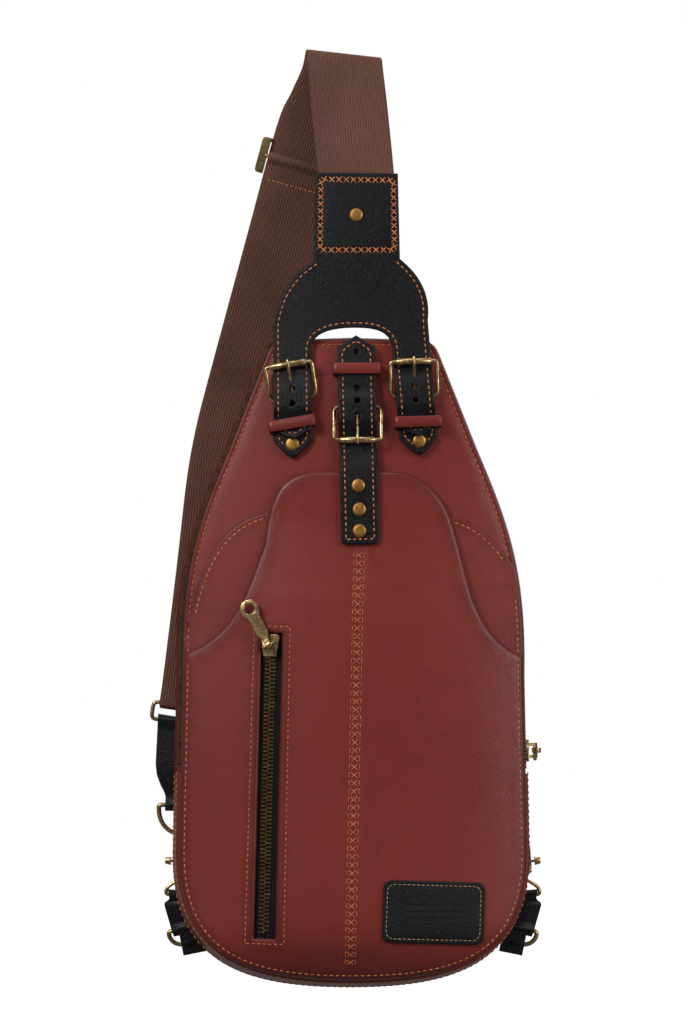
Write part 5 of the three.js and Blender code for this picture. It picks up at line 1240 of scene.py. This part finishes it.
def centre_outer(x, z):
    return centre_inner(x, z) + STRAP_HIDE


def framed(prefix, points, flip=False):
    """Points drawn across and along a strap, in the XZ plane. flip turns them upside down."""
    spots = np.asarray(points, float) * ([-1, -1] if flip else [1, 1])
    return xz(put(strap_frame(prefix), np.stack([spots[:, 0], spots[:, 0] * 0, spots[:, 1]], 1)))


centre_shape = run_of((-9.5, -66), (-9.5, -68.5, -7, -68.5), (7, -68.5), (9.5, -68.5, 9.5, -66), (9.5, 30.5),
                      (0, 36.5), (-9.5, 30.5), count=4)
centre_outline = evenly(framed("center", centre_shape), 1.5, closed=True)
sheet("centre_strap_leather", centre_outline, over_front(centre_outer), over_front(centre_inner),
      BLACK_LEATHER, ["center_strap"], "black_leather", spacing=2.6, **STRAP_EDGE,
      holes=[*strap_holes("center", (3.6, 9.8, 28.1)), prong_slot("center")])
centre_seam = framed("center", [(-7, -66), (7, -66), (7, 29), (0, 33.6), (-7, 29)])
seam_over_front("centre_strap_stitches", [closed_line(centre_seam)], centre_outer, ORANGE_THREAD,
                "center_strap", "black_leather", pitch=3.0, length=2.2)


def rivet_place(prefix):
    """Where the rivet goes through a side chape, in the XZ plane."""
    return tuple(xz(put(strap_frame(prefix), [(0, 0, -22.6)]))[0])


def chape(prefix):
    """A pointed strip under the strap whose upper end rolls round the buckle's bar."""
    flip = STATIONS[prefix]["flip"] < 0
    low, tall = (-31, 8) if flip else (-29.5, 9)
    shape = run_of((0, low), (HALF_STRAP * 0.55, low + tall * 0.3, HALF_STRAP, low + tall),
                   (HALF_STRAP, -1.0), (-HALF_STRAP, -1.0), (-HALF_STRAP, low + tall),
                   (-HALF_STRAP * 0.55, low + tall * 0.3, 0, low), count=8)
    outline = framed(prefix, shape, flip)
    outline = evenly(outline[:-1], 1.4, closed=True)
    sheet(f"{prefix}_chape_leather", outline, over_front(level(CHAPE_OUT)), over_front(level(CHAPE_IN)),
          BLACK_LEATHER, [f"{prefix}_chape"], "black_leather", spacing=2.6, **STRAP_EDGE)
    if not flip:
        rail = framed(prefix, [(7.1, -13), (7.1, low + tall + 0.6), (0, low + 3.4), (-7.1, low + tall + 0.6),
                               (-7.1, -13)])
        seam_over_front(f"{prefix}_chape_stitches", [rail], level(CHAPE_OUT), ORANGE_THREAD,
                        f"{prefix}_chape", "black_leather", pitch=2.7, length=2.0)


# %% [markdown]
# ## Rings, wires and turned parts
#
# Buckle frames, rings and prongs are bent wire: a circle carried along a path that lies in a plane,
# with a dome at each free end. Rollers, loops and rivets are turned: a profile carried round an axis.

# %% Wire and turned parts
def wire(name, points, radius, normal, stands_for, closed=False):
    """A brass tube whose section is a circle across the path. radius may change along it. normal is
    the way square to the plane that the path lies in."""
    points = np.asarray(points, float)
    sides = 16
    size = np.broadcast_to(radius, len(points)).astype(float)
    along = headings(points, closed)
    if not closed:
        lean = np.array([1, 0.92, 0.7, 0.38, 0.05])
        out = np.sqrt(1 - lean ** 2)
        points = np.vstack([points[0] - along[0] * (size[0] * out[:0:-1])[:, None], points,
                            points[-1] + along[-1] * (size[-1] * out[1:])[:, None]])
        size = np.r_[size[0] * lean[:0:-1], size, size[-1] * lean[1:]]
        along = np.vstack([np.tile(along[0], (4, 1)), along, np.tile(along[-1], (4, 1))])
    side = np.cross(normal, along)
    side /= np.linalg.norm(side, axis=1)[:, None]
    out = np.cross(along, side)
    angle = np.arange(sides) * 2 * math.pi / sides
    ring = (np.cos(angle)[None, :, None] * side[:, None] + np.sin(angle)[None, :, None] * out[:, None])
    shape = (points[:, None] + ring * size[:, None, None]).reshape(-1, 3)
    faces = outward_faces(shape, tube_faces(len(points), sides, closed))
    return make_piece(name, shape, faces, BRASS, stands_for, smooth=80)


def turned(name, profile, frame_of, material, stands_for, slot="antique_brass", sides=32, axis="y",
           rides=None, smooth=45):
    """A closed profile of (radius, height) carried round an axis of the frame."""
    profile = np.asarray(profile, float)
    angle = np.arange(sides) * 2 * math.pi / sides
    a, b = np.outer(np.cos(angle), profile[:, 0]), np.outer(np.sin(angle), profile[:, 0])
    h = np.broadcast_to(profile[:, 1], a.shape)
    local = {"x": (h, a, b), "y": (a, h, b), "z": (a, b, h)}[axis]
    shape = put(frame_of, np.stack(local, 2).reshape(-1, 3))
    faces = outward_faces(shape, tube_faces(sides, len(profile), closed=True))
    make_piece(name, shape, faces, material, stands_for, rides=rides, smooth=smooth)


BUCKLE_INSIDE = 21.5


def buckle(prefix):
    """Frame, roller and prong."""
    frame_of = buckle_frame(prefix)
    half, corner, top = BUCKLE_INSIDE / 2 + WIRE, 3.2, 1.6
    loop = run_of((-half + corner, 0), (half - corner, 0), (half, 0, half, corner), (half, REACH - top),
                  (half, REACH, half - top, REACH), (-half + top, REACH), (-half, REACH, -half, REACH - top),
                  (-half, corner), (-half, 0, -half + corner, 0), count=7)
    loop = evenly(loop[:-1], 1.0, closed=True, keep=80)
    path = put(frame_of, np.stack([loop[:, 0], loop[:, 0] * 0, loop[:, 1]], 1))
    wire(f"{prefix}_buckle_wire", path, WIRE, frame_of[0][:, 1], [f"{prefix}_buckle_frame"], closed=True)
    long, hole = (BUCKLE_INSIDE - 4) / 2, WIRE + 0.3
    r = ROLLER_R
    tube = [(hole, -long), (r - 0.25, -long), (r, -long + 0.3), (r, long - 0.3), (r - 0.25, long),
            (hole, long)]
    turned(f"{prefix}_roller_tube", tube, moved(frame_of, (0, 0, REACH)), BRASS, [f"{prefix}_roller"],
           axis="x")
    rest = r + CLEAR + PRONG_R
    line = np.array([(0, -2.0, 0.6), (0, -1.75, 1.6), (0, -0.9, 2.9), (0, -0.6, 5.0), (0, -0.7, REACH * 0.5),
                     (0, -1.2, REACH * 0.64), (0, -rest + 0.3, REACH * 0.84), (0, -rest - 0.1, REACH),
                     (0, -rest + 0.3, REACH + 2.2)])
    way = np.linspace(0, 1, len(line))
    fine = np.linspace(0, 1, 34)
    line = np.stack([np.interp(fine, way, line[:, k]) for k in range(3)], 1)
    for _ in range(3):
        inner = 0.25 * line[:-2] + 0.5 * line[1:-1] + 0.25 * line[2:]
        line = np.vstack([line[:1], inner, line[-1:]])
    size = np.interp(fine, [0, 0.15, 0.8, 1], [1.15, 1.0, 0.95, 0.7]) * PRONG_R * 1.15
    wire(f"{prefix}_prong_wire", put(frame_of, line), size, frame_of[0][:, 0], [f"{prefix}_prong"])
    eye = [(hole, -0.9), (WIRE + 1.2, -0.9), (WIRE + 1.4, -0.7), (WIRE + 1.4, 0.7), (WIRE + 1.2, 0.9),
           (hole, 0.9)]
    turned(f"{prefix}_prong_eye", eye, frame_of, BRASS, [f"{prefix}_prong"], axis="x",
           rides=BODY_OF[f"{prefix}_prong"])


def chape_loop(prefix):
    """The leather roll round the bar, in two halves with the prong between them."""
    r, hole = LOOP_R, WIRE + 0.3
    low, high = 1.7, HALF_STRAP - 1.2
    for a, b, word in ((-high, -low, "left"), (low, high, "right")):
        profile = [(hole, a), (r - 0.3, a), (r, a + 0.3), (r, b - 0.3), (r - 0.3, b), (hole, b)]
        turned(f"{prefix}_chape_roll_{word}", profile, buckle_frame(prefix), BLACK_LEATHER,
               [f"{prefix}_chape"], "black_leather", axis="x", rides=BODY_OF[f"{prefix}_chape"])


def rivet(name, x, z, seat, reach, node_name):
    """A low domed head on a short shank."""
    head = [(0.01, -1.0), (0.9, -0.99), (1.8, -0.94), (2.5, -0.84), (2.95, -0.68), (3.3, -0.42),
            (3.45, -0.15), (3.45, 0.0), (1.4, 0.0), (1.4, reach), (0.01, reach)]
    profile = [(radius, height - seat - CLEAR) for radius, height in head]
    turned(name, profile, surface_frame(x, z, 0.0), YELLOW_BRASS, [node_name], sides=40, smooth=60)


for prefix in STATIONS:
    chape(prefix)
    chape_loop(prefix)
    buckle(prefix)
rivet("left_rivet_head", *rivet_place("left"), CHAPE_OUT, 2.2, "left_rivet")
rivet("right_rivet_head", *rivet_place("right"), CHAPE_OUT, 2.2, "right_rivet")
rivet("yoke_rivet_head", 1.6, 388.7, 2.4 + STRAP_HIDE, 6.0, "yoke_rivet")
for number, spot in enumerate(CENTRE_RIVETS, 1):
    rivet(f"centre_rivet_{number}_head", *spot, POCKET_PEAK + STRAP_HIDE, 4.2, f"center_rivet_{number}")
print("buckles, chapes and rivets made")

# %% Keepers
KEEPER_TOP = CHAPE_OUT + CLEAR + STRAP_HIDE + 0.9


def keeper(prefix, along, roll):
    """A flat leather loop: a rounded rectangular ring with soft edges, carried up the strap."""
    middle = put(strap_frame(prefix), [(0, 0, along)])[0]
    frame_of = surface_frame(middle[0], middle[2], roll)
    thick, tall = 1.2, 5.5
    half, high, c = HALF_STRAP + 1.45 + thick, KEEPER_TOP + thick, 0.8 + thick * 0.8
    line = run_of((-half, CLEAR), (half, CLEAR), (half, high - c), (half, high, half - c, high),
                  (-half + c, high), (-half, high, -half, high - c), count=5)
    outer = evenly(line, 1.2, closed=True, keep=50)
    inner = outer - thick * 0.92 * np.stack([headings(outer, True)[:, 1], -headings(outer, True)[:, 0]], 1)
    inner[:, 1] = np.maximum(inner[:, 1], CLEAR + 0.55)
    bevel = 0.35
    share = np.array([(0.0, 0.5 - bevel / tall), (bevel / thick, 0.5), (0.9, 0.5), (0.9, -0.5),
                      (bevel / thick, -0.5), (0.0, -0.5 + bevel / tall)])
    line = outer[:, None] + share[None, :, :1] * (inner - outer)[:, None]
    up = np.broadcast_to(share[None, :, 1] * tall, line.shape[:2])
    shape = put(frame_of, np.stack([line[..., 0], -line[..., 1], up], 2).reshape(-1, 3))
    faces = outward_faces(shape, tube_faces(len(outer), len(share), closed=True))
    # Rim weights of the edge darkening: burnish and painted shade.
    edge = np.tile([0.35, 0.1, 0.0, 0.0, 0.1, 0.35], len(outer))
    make_piece(f"{prefix}_keeper_leather", shape, faces, RED_LEATHER, [f"{prefix}_keeper"],
               edge=edge, smooth=60)


keeper("left", -12.5, 0.17)
keeper("right", -13.2, 0.03)
keeper("center", 19.0, 0.0)

# %% Name patch
PATCH_THICK = 1.1


def patch_inner(x, z):
    return pocket_outer(x, z) + CLEAR


def patch_outer(x, z):
    return patch_inner(x, z) + PATCH_THICK


def in_patch(points):
    """Places in the patch, turned two degrees and moved to the lower right corner."""
    c, s = math.cos(0.035), math.sin(0.035)
    points = np.asarray(points, float)
    return PATCH_AT + points @ np.array([[c, -s], [s, c]])


def rounded_box(x, z, corner):
    """A rectangle of half sizes x and z with its corners rounded, counter-clockwise."""
    return run_of((-x + corner, -z), (x - corner, -z), (x, -z, x, -z + corner), (x, z - corner),
                  (x, z, x - corner, z), (-x + corner, z), (-x, z, -x, z - corner), (-x, -z + corner),
                  (-x, -z, -x + corner, -z), count=6)[:-1]


patch_seam = closed_line(in_patch(rounded_box(23.2, 13.4, 3.4)))
sheet("name_patch_leather", evenly(in_patch(rounded_box(25.2, 15.4, 4.5)), 1.4, closed=True),
      over_front(patch_outer), over_front(patch_inner), PATCH_LEATHER, ["name_patch"], "black_leather",
      spacing=2.4, rows=(0.2, 0.6, 1.2), seams=[evenly(patch_seam, 1.4)], pull=0.25)
seam_over_front("name_patch_stitches", [patch_seam], patch_outer, TAN_THREAD, "name_patch", "black_leather",
                pitch=2.3, length=1.8, radius=0.26)

# %% [markdown]
# ## The shoulder strap
#
# The webbing starts between the yoke's two layers, folds over at the top, runs down behind the bag,
# loops round the ring and comes back up in front of itself. It is one ribbon, a flat rounded section
# carried along a smooth curve, with a UV map in metres so that the weave follows it.

# %% Webbing
def smooth_run(points, per_span=8):
    """A Catmull-Rom curve through the points: each span is a cubic set by its four nearest points."""
    p = np.vstack([2 * points[0] - points[1], points, 2 * points[-1] - points[-2]])
    t = np.linspace(0, 1, per_span, endpoint=False)[:, None]
    a, b, c, d = (p[k:len(p) - 3 + k][:, None] for k in range(4))
    t = t[None]
    curve = 0.5 * (2 * b + (c - a) * t + (2 * a - 5 * b + 4 * c - d) * t ** 2
                   + (3 * b - a - 3 * c + d) * t ** 3)
    return np.vstack([curve.reshape(-1, points.shape[1]), points[-1:]])


def ribbon_section():
    """The webbing's section with rounded long edges, counter-clockwise, as (across, out)."""
    half, t, round_by = WEB_WIDE / 2, WEB_THICK / 2, 0.55
    x = np.linspace(-half + round_by, half - round_by, 13)
    turn = np.linspace(-math.pi / 2, math.pi / 2, 5)[1:-1]
    right = np.stack([half - round_by + round_by * np.cos(turn), t * np.sin(turn)], 1)
    face = np.stack([x, x * 0 - t], 1)
    return np.vstack([face, right, face[::-1] * [1, -1], right[::-1] * [-1, 1]])


def ribbon(name, points, lean, stands_for, uv_shift=0.0):
    """Webbing carried along the points, its width lying along the direction that lean gives: the
    section isn't squared to the path, so a fold can run aslant."""
    section = ribbon_section()
    along = headings(points)
    across = np.stack([np.cos(lean), np.zeros(len(lean)), -np.sin(lean)], 1)
    out = np.cross(along, across)
    out /= np.linalg.norm(out, axis=1)[:, None]
    shape = (points[:, None] + section[None, :, :1] * across[:, None] + section[None, :, 1:] * out[:, None])
    shape = shape.reshape(-1, 3)
    faces = outward_faces(shape, tube_faces(len(points), len(section)))
    way = np.r_[0, np.cumsum(np.linalg.norm(np.diff(points, axis=0), axis=1))]
    uv = np.stack(np.broadcast_arrays(section[None, :, 0] * MM, way[:, None] * MM + uv_shift), 2)
    made = make_piece(name, shape, faces, WEBBING, [stands_for], uv=uv.reshape(-1, 2), smooth=60)
    print(f"{name}: {way[-1]:.0f} mm long, {len(made.data.polygons)} faces")
    return made


WEB_WIDE, WEB_THICK, LAYER, STRAP_LEAN = 38.0, 1.4, 1.1, 0.27
FOLD = np.array([-4.2, 2.6, 470.3])
STRAP_HIGH, STRAP_LOW = np.array([-20.4, 13.0, 429.0]), np.array([-55.6, 38.0, 301.5])
STRAP_END, RING_LEAN = np.array([-79.4, 36.6, 141.0]), 0.149
LOWER = np.array([(-60.8, 38.4, 281), (-65.6, 37.6, 255), (-70.2, 37.0, 215), (-74.6, 36.7, 178),
                  (-78.0, 36.6, 151)])


def strap_point(t):
    """A point of the strap's straight stretch behind the bag, from its top to the sewn place."""
    return STRAP_HIGH + (STRAP_LOW - STRAP_HIGH) * t


def webbing_route():
    """Each row is x, y, z and the lean of the webbing's width."""
    yoke_y = lambda z: float(front_y(2.0, z)) - IN_YOKE
    rows = [(2.6, yoke_y(373), 373, -0.05), (2.4, yoke_y(392), 392, -0.07), (1.6, yoke_y(409), 409, -0.1),
            (-1.4, yoke_y(409) + 2.2, 440, -0.06), (FOLD[0] + 0.6, FOLD[1] - 0.2, FOLD[2] - 9, 0.06)]
    turn = np.linspace(0, math.pi, 7)
    rows += [(FOLD[0] - 0.15 * i, FOLD[1] + 1.6 * (1 - math.cos(a)), FOLD[2] - 1.9 + 1.6 * math.sin(a),
              0.1 + 0.004 * i) for i, a in enumerate(turn)]
    rows += [(-7.0, FOLD[1] + 4.0, 460, 0.16), (-12.6, STRAP_HIGH[1] + LAYER - 4.6, 447, 0.24)]
    rows += [(*(strap_point(t) + [0, LAYER, 0]), lean)
             for t, lean in ((0, STRAP_LEAN), (0.5, STRAP_LEAN), (1, STRAP_LEAN - 0.02))]
    rows += [(x, y + LAYER, z, 0.22 - 0.014 * i) for i, (x, y, z) in enumerate(LOWER)]
    wrap = 1.05 + CLEAR + 0.1 + WEB_THICK / 2
    rows += [(STRAP_END[0], STRAP_END[1] + wrap * math.cos(a), STRAP_END[2] - wrap * math.sin(a), RING_LEAN)
             for a in np.linspace(0, math.pi, 9)]
    rows += [(x, y - LAYER, z, 0.164 + 0.014 * i) for i, (x, y, z) in enumerate(LOWER[::-1])]
    rows += [(*(STRAP_LOW - [0, LAYER, 0]), STRAP_LEAN - 0.02)]
    return smooth_run(np.array(rows, float), 5)


route = webbing_route()
ribbon("webbing_strap", route[:, :3], route[:, 3], "webbing_main")

strap_up = (STRAP_HIGH - STRAP_LOW) / np.linalg.norm(STRAP_HIGH - STRAP_LOW)
strap_across = np.array([math.cos(STRAP_LEAN), 0, -math.sin(STRAP_LEAN)])
strap_across -= strap_up * (strap_across @ strap_up)
strap_across /= np.linalg.norm(strap_across)
slider_frame = (np.stack([strap_across, np.cross(strap_up, strap_across), strap_up], 1), strap_point(0.11))
tail_top = put(slider_frame, [(0, -LAYER, -2.2)])[0]
tail_end = STRAP_LOW - [0, LAYER, 0]
tail_end = tail_end - (tail_end - tail_top) / np.linalg.norm(tail_end - tail_top) * 0.06
t = np.linspace(0, 1, 40)[:, None]
tail = ribbon("webbing_adjusting_tail", tail_top + (tail_end - tail_top) * t, STRAP_LEAN - 0.02 * t[:, 0],
              "webbing_tail", uv_shift=0.05)
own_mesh(tail)



# %% The tail's turn round the slider's bar, and its seam
BAR_R = 0.9
bar_wrap = BAR_R + 0.08 + WEB_THICK / 2
turn = np.linspace(math.pi * 0.5, -math.pi * 0.62, 12)[3:]
wrap_rows = [(0.0, -LAYER - 0.03, -4.6), (0.0, -LAYER - 0.06, -3.4)]
wrap_rows += [(0.0, -LAYER - bar_wrap * math.cos(a), -bar_wrap * math.sin(a)) for a in turn]
wrap_points = smooth_run(put(slider_frame, wrap_rows), 3)
wrap = ribbon("webbing_slider_wrap", wrap_points, np.full(len(wrap_points), STRAP_LEAN), "webbing_tail",
              uv_shift=0.05)
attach(wrap, "adjuster")
x = np.arange(-15.6, 15.61, 2.4)
seam_spots = put(slider_frame, np.stack([x, x * 0 - LAYER - WEB_THICK / 2, x * 0 - 11.5], 1))
tail_seam = stitches("tail_stitches", seam_spots, np.tile(slider_frame[0][:, 0], (len(x), 1)),
                     np.tile(-slider_frame[0][:, 1], (len(x), 1)), ORANGE_THREAD, "webbing_tail", "webbing",
                     length=1.9, radius=0.3)
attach(tail_seam, "adjuster")

# %% [markdown]
# ## Rings, tabs and snap hooks
#
# Below the webbing hangs the strap's end: a ring, a folded leather tab and a D-ring. On each lower
# corner a D-ring in a sewn anchor holds a short folded tab, whose other end holds a swivel snap hook.

# %% Rings
def hanging(origin, lean):
    """A frame whose z is up, leaning by the angle, at the origin."""
    c, s = math.cos(lean), math.sin(lean)
    return np.array([[c, 0, s], [0, 1, 0], [-s, 0, c]]), np.asarray(origin, float)


def flat_wire(name, line, frame_of, radius, stands_for):
    """A closed wire along a line drawn in the frame's own XZ plane."""
    line = evenly(line[:-1], 1.0, closed=True, keep=80)
    path = put(frame_of, np.stack([line[:, 0], line[:, 0] * 0, line[:, 1]], 1))
    return wire(name, path, radius, frame_of[0][:, 1], stands_for, closed=True)


RING_WIRE, D_WIRE, RING_TALL, RING_WIDE = 1.05, 1.2, 10.8, 46.0
ring_height, ring_half, c = RING_TALL - 2 * RING_WIRE, RING_WIDE / 2 - RING_WIRE, 2.4
ring_frame = hanging(STRAP_END, RING_LEAN)
ring_line = run_of((-ring_half + c, 0), (ring_half - c, 0), (ring_half, 0, ring_half, -c),
                   (ring_half, -ring_height + c), (ring_half, -ring_height, ring_half - c, -ring_height),
                   (-ring_half + c, -ring_height),
                   (-ring_half, -ring_height, -ring_half, -ring_height + c), (-ring_half, -c),
                   (-ring_half, 0, -ring_half + c, 0), count=6)
flat_wire("strap_ring_wire", ring_line, ring_frame, RING_WIRE, ["strap_ring"])
ring_bar_frame = hanging(put(ring_frame, [(0, 0, -ring_height)])[0], RING_LEAN)
END_LEAN, END_LONG = 0.05, 41.0
end_tab_frame = hanging(ring_bar_frame[1], END_LEAN)
strap_d_frame = hanging(put(end_tab_frame, [(0, 0, -END_LONG)])[0], 0.02)


def d_line(half, depth):
    """A straight bar on top and a round bow below."""
    return run_of((-half + 1.5, 0), (half - 1.5, 0), (half, 0, half, -1.5),
                  (half, -depth * 0.75, half * 0.55, -depth, 0, -depth),
                  (-half * 0.55, -depth, -half, -depth * 0.75, -half, -1.5),
                  (-half, 0, -half + 1.5, 0), count=9)


flat_wire("strap_d_ring_wire", d_line(15.8, 15.4), strap_d_frame, D_WIRE, ["strap_d_ring"])

# %% Folded tabs
TAB = 1.5


def folded_tab(name, frame_of, half_at, top_eye, low_eye, node_name, steps=44):
    """Two layers that lie together and open into a roll round a bar at each end.

    Down the tab the half thickness is the larger of the flat layers' and of the circle round each bar,
    sqrt(r^2 - d^2), d being the distance along the tab from the bar. half_at gives the half width."""
    low_z = float((np.linalg.inv(frame_of[0]) @ (low_eye[0][1] - frame_of[1]))[2])
    roll = top_eye[1] + CLEAR + TAB
    low_roll = low_eye[1] + CLEAR + TAB
    t = (1 - np.cos(np.linspace(0, math.pi, steps))) / 2
    z = roll * 0.995 + (low_z - low_roll * 0.995 - roll * 0.995) * t
    bead = np.sqrt(np.maximum(roll ** 2 - z ** 2, 0))
    low_bead = np.sqrt(np.maximum(low_roll ** 2 - (z - low_z) ** 2, 0))
    flat = np.where((z < 0) & (z > low_z), TAB, 0.0)
    thick = np.maximum.reduce([bead, low_bead, flat, np.full_like(z, 0.12)])
    blur = np.array([0.25, 0.5, 0.25])
    thick[2:-2] = np.convolve(thick, blur, "same")[2:-2]
    half = half_at(z)
    corner = 0.5
    right = np.stack([half - corner, half - 0.15, half, half, half - 0.15, half - corner], 1)
    section_x = np.hstack([-right[:, :1], right, -right[:, :-1]])
    ratio = np.array([-1, -1, -0.75, -0.3, 0.3, 0.75, 1, 1, 0.75, 0.3, -0.3, -0.75])
    lean = np.clip((low_z - z) / low_z, 0, 1)
    turn_top = (np.linalg.inv(frame_of[0]) @ top_eye[0][0])[:, 0]
    turn_low = (np.linalg.inv(frame_of[0]) @ low_eye[0][0])[:, 0]
    slope = (turn_top[2] / turn_top[0]) * lean ** 3 + (turn_low[2] / turn_low[0]) * (1 - lean) ** 3
    local = np.stack([section_x, thick[:, None] * ratio, z[:, None] + section_x * slope[:, None]], 2)
    shape = put(frame_of, local.reshape(-1, 3))
    faces = outward_faces(shape, tube_faces(steps, len(ratio)))
    # Side weights of the edge darkening: burnish and painted shade.
    edge = np.tile(0.7 * (np.abs(ratio) < 0.8), steps)
    made = make_piece(name, shape, faces, BLACK_LEATHER, [node_name], edge=edge, smooth=60)
    print(f"{name}: {len(made.data.polygons)} faces")


def end_tab_half(z):
    """Wide at the ring, then a soft shoulder down to the D-ring's width."""
    return np.interp(z, [-60, -37, -35, -31, -26, -21, 8], [12.6, 12.6, 13.2, 15.6, 17.7, 18.5, 18.5])


folded_tab("strap_end_tab_leather", end_tab_frame, end_tab_half, (ring_bar_frame, RING_WIRE),
           (strap_d_frame, D_WIRE), "strap_end_tab")
SNAP_LEAN, CORNER_LEAN, SNAP_HALF = 0.07, 0.2, 7.5
EYE_DROP, EYE_WIRE, CORNER_LONG = 7.4, 0.95, 17.0


def bag_corner(prefix, side):
    """D-ring, anchor, folded tab and snap hook on one lower corner."""
    snap = hanging((side * 86.6, STRAP_END[1], 64.0), -side * SNAP_LEAN)
    eye_bar = hanging(put(snap, [(0, 0, -SNAP_HALF - 3.4 - EYE_DROP)])[0], -side * SNAP_LEAN)
    lean = side * CORNER_LEAN
    tab_frame = hanging(eye_bar[1], lean)
    low = hanging(put(tab_frame, [(0, 0, -CORNER_LONG)])[0], lean)
    folded_tab(f"{prefix}_tab_leather", tab_frame,
               lambda z: np.interp(z, [-25, -20, -15, -3.5, -2, 6], [7.2, 7.2, 7.8, 8.8, 5.6, 5.2]),
               (eye_bar, EYE_WIRE), (low, D_WIRE), f"{prefix}_tab", steps=36)
    flat_wire(f"{prefix}_d_ring_wire", d_line(9.4, 8.2), low, D_WIRE, [f"{prefix}_d_ring"])
    finer_copy(f"{prefix}_anchor", BLACK_LEATHER, bevel=0.4)
    for node_name in (f"{prefix}_snap_body", f"{prefix}_snap_bolt", f"{prefix}_snap_eye"):
        finer_copy(node_name, BRASS, bevel=0.2)


bag_corner("left", -1)
bag_corner("right", 1)
for node_name in ("front_zip_slider", "front_zip_pull", "main_zip_slider", "main_zip_pull", "strap_slider"):
    finer_copy(node_name, BRASS, bevel=0.25)
print("hardware made")

# %% [markdown]
# ## Lining
#
# A thin cloth tray lines the bag. It is closed inside and hardly ever seen, so an eased copy of its
# CAD shape with a woven finish is enough.

# %% Lining
lining = finer_copy("main_lining", LINING, bevel=0.3)
corners = np.empty(len(lining.data.loops), np.int32)
lining.data.loops.foreach_get("vertex_index", corners)
spots = np.empty(len(lining.data.vertices) * 3, np.float32)
lining.data.vertices.foreach_get("co", spots)
weave = lining.data.uv_layers.get("metres") or lining.data.uv_layers.new(name="metres")
weave.data.foreach_set("uv", spots.reshape(-1, 3)[:, [0, 2]][corners].ravel())
print("lining made")

# %% [markdown]
# ## Floor, light and camera
#
# The bag hangs above a wide pale floor in a white room. The floor glows a little and doesn't light
# the bag. Large soft lamps give the broad sheen that shows smooth leather well, and the room's own
# light on the bag is weak, so that the black leather stays deep.

# %% Stage, lamps and camera
def soft_lamp(name, place, aim, size, power):
    """A square area lamp turned towards a point."""
    lamp = bpy.data.lights.new(name, "AREA")
    lamp.size = size
    lamp.energy = power
    thing = bpy.data.objects.new(name, lamp)
    bpy.context.scene.collection.objects.link(thing)
    thing.location = place
    away = np.array(place, float) - np.array(aim, float)
    away /= np.linalg.norm(away)
    thing.rotation_euler = (math.acos(np.clip(away[2], -1, 1)), 0, math.atan2(away[0], -away[1]))


def plain_white(name, glow):
    """Matt white paint that glows a little, so that the far floor is as pale as the near floor."""
    material, _, shader = new_material(name, specular=0.0)
    shader.inputs["Base Color"].default_value = (0.9, 0.9, 0.9, 1)
    shader.inputs["Roughness"].default_value = 0.9
    shader.inputs["Emission Color"].default_value = (1, 1, 1, 1)
    shader.inputs["Emission Strength"].default_value = glow
    return material


SKY_LIGHT, FLOOR_GLOW, FLOOR_HALF = 0.16, 0.95, 6.0
floor_z = cad_box[0][2] - 0.35
mesh = bpy.data.meshes.new("floor")
mesh.from_pydata([(x * FLOOR_HALF, y * FLOOR_HALF, floor_z) for x, y in ((-1, -1), (1, -1), (1, 1), (-1, 1))],
                 [], [(0, 1, 2, 3)])
mesh.materials.append(plain_white("floor_paint", FLOOR_GLOW))
floor = bpy.data.objects.new("floor", mesh)
bpy.context.scene.collection.objects.link(floor)
floor.visible_diffuse = False
floor.visible_glossy = False
middle = (-0.00155, -0.01, -0.2275)
soft_lamp("key_lamp", (-0.95, -1.15, 0.65), middle, 0.6, 15)
soft_lamp("fill_lamp", (1.35, -1.0, 0.2), middle, 0.8, 10)
soft_lamp("top_lamp", (0.1, -0.25, 1.3), middle, 1.0, 6)
soft_lamp("back_lamp", (0.3, 1.6, 0.6), middle, 1.6, 12)
world = bpy.data.worlds.new("studio")
world.use_nodes = True
sky = world.node_tree.nodes["Background"]
sky.inputs[0].default_value = (1, 1, 1, 1)
seen = node(world.node_tree, "ShaderNodeLightPath").outputs["Is Camera Ray"]
world.node_tree.links.new(ramp(world.node_tree, seen, 0.0, 1.0, SKY_LIGHT, 1.0), sky.inputs[1])
bpy.context.scene.world = world
bpy.context.scene.view_settings.view_transform = "Standard"

CAMERA_AWAY, SENSOR, VIEW_HEIGHT = 2.6, 24.0, 0.512
lens = bpy.data.cameras.new("camera")
lens.sensor_fit = "VERTICAL"
lens.sensor_height = SENSOR
lens.lens = SENSOR * CAMERA_AWAY / VIEW_HEIGHT
lens.clip_end = 30
eye = bpy.data.objects.new("camera", lens)
bpy.context.scene.collection.objects.link(eye)
eye.location = (middle[0], middle[1] - CAMERA_AWAY, middle[2])
eye.rotation_euler = (math.pi / 2, 0, 0)
bpy.context.scene.camera = eye
print("camera", [round(v, 3) for v in eye.location], "lens", round(lens.lens, 1))
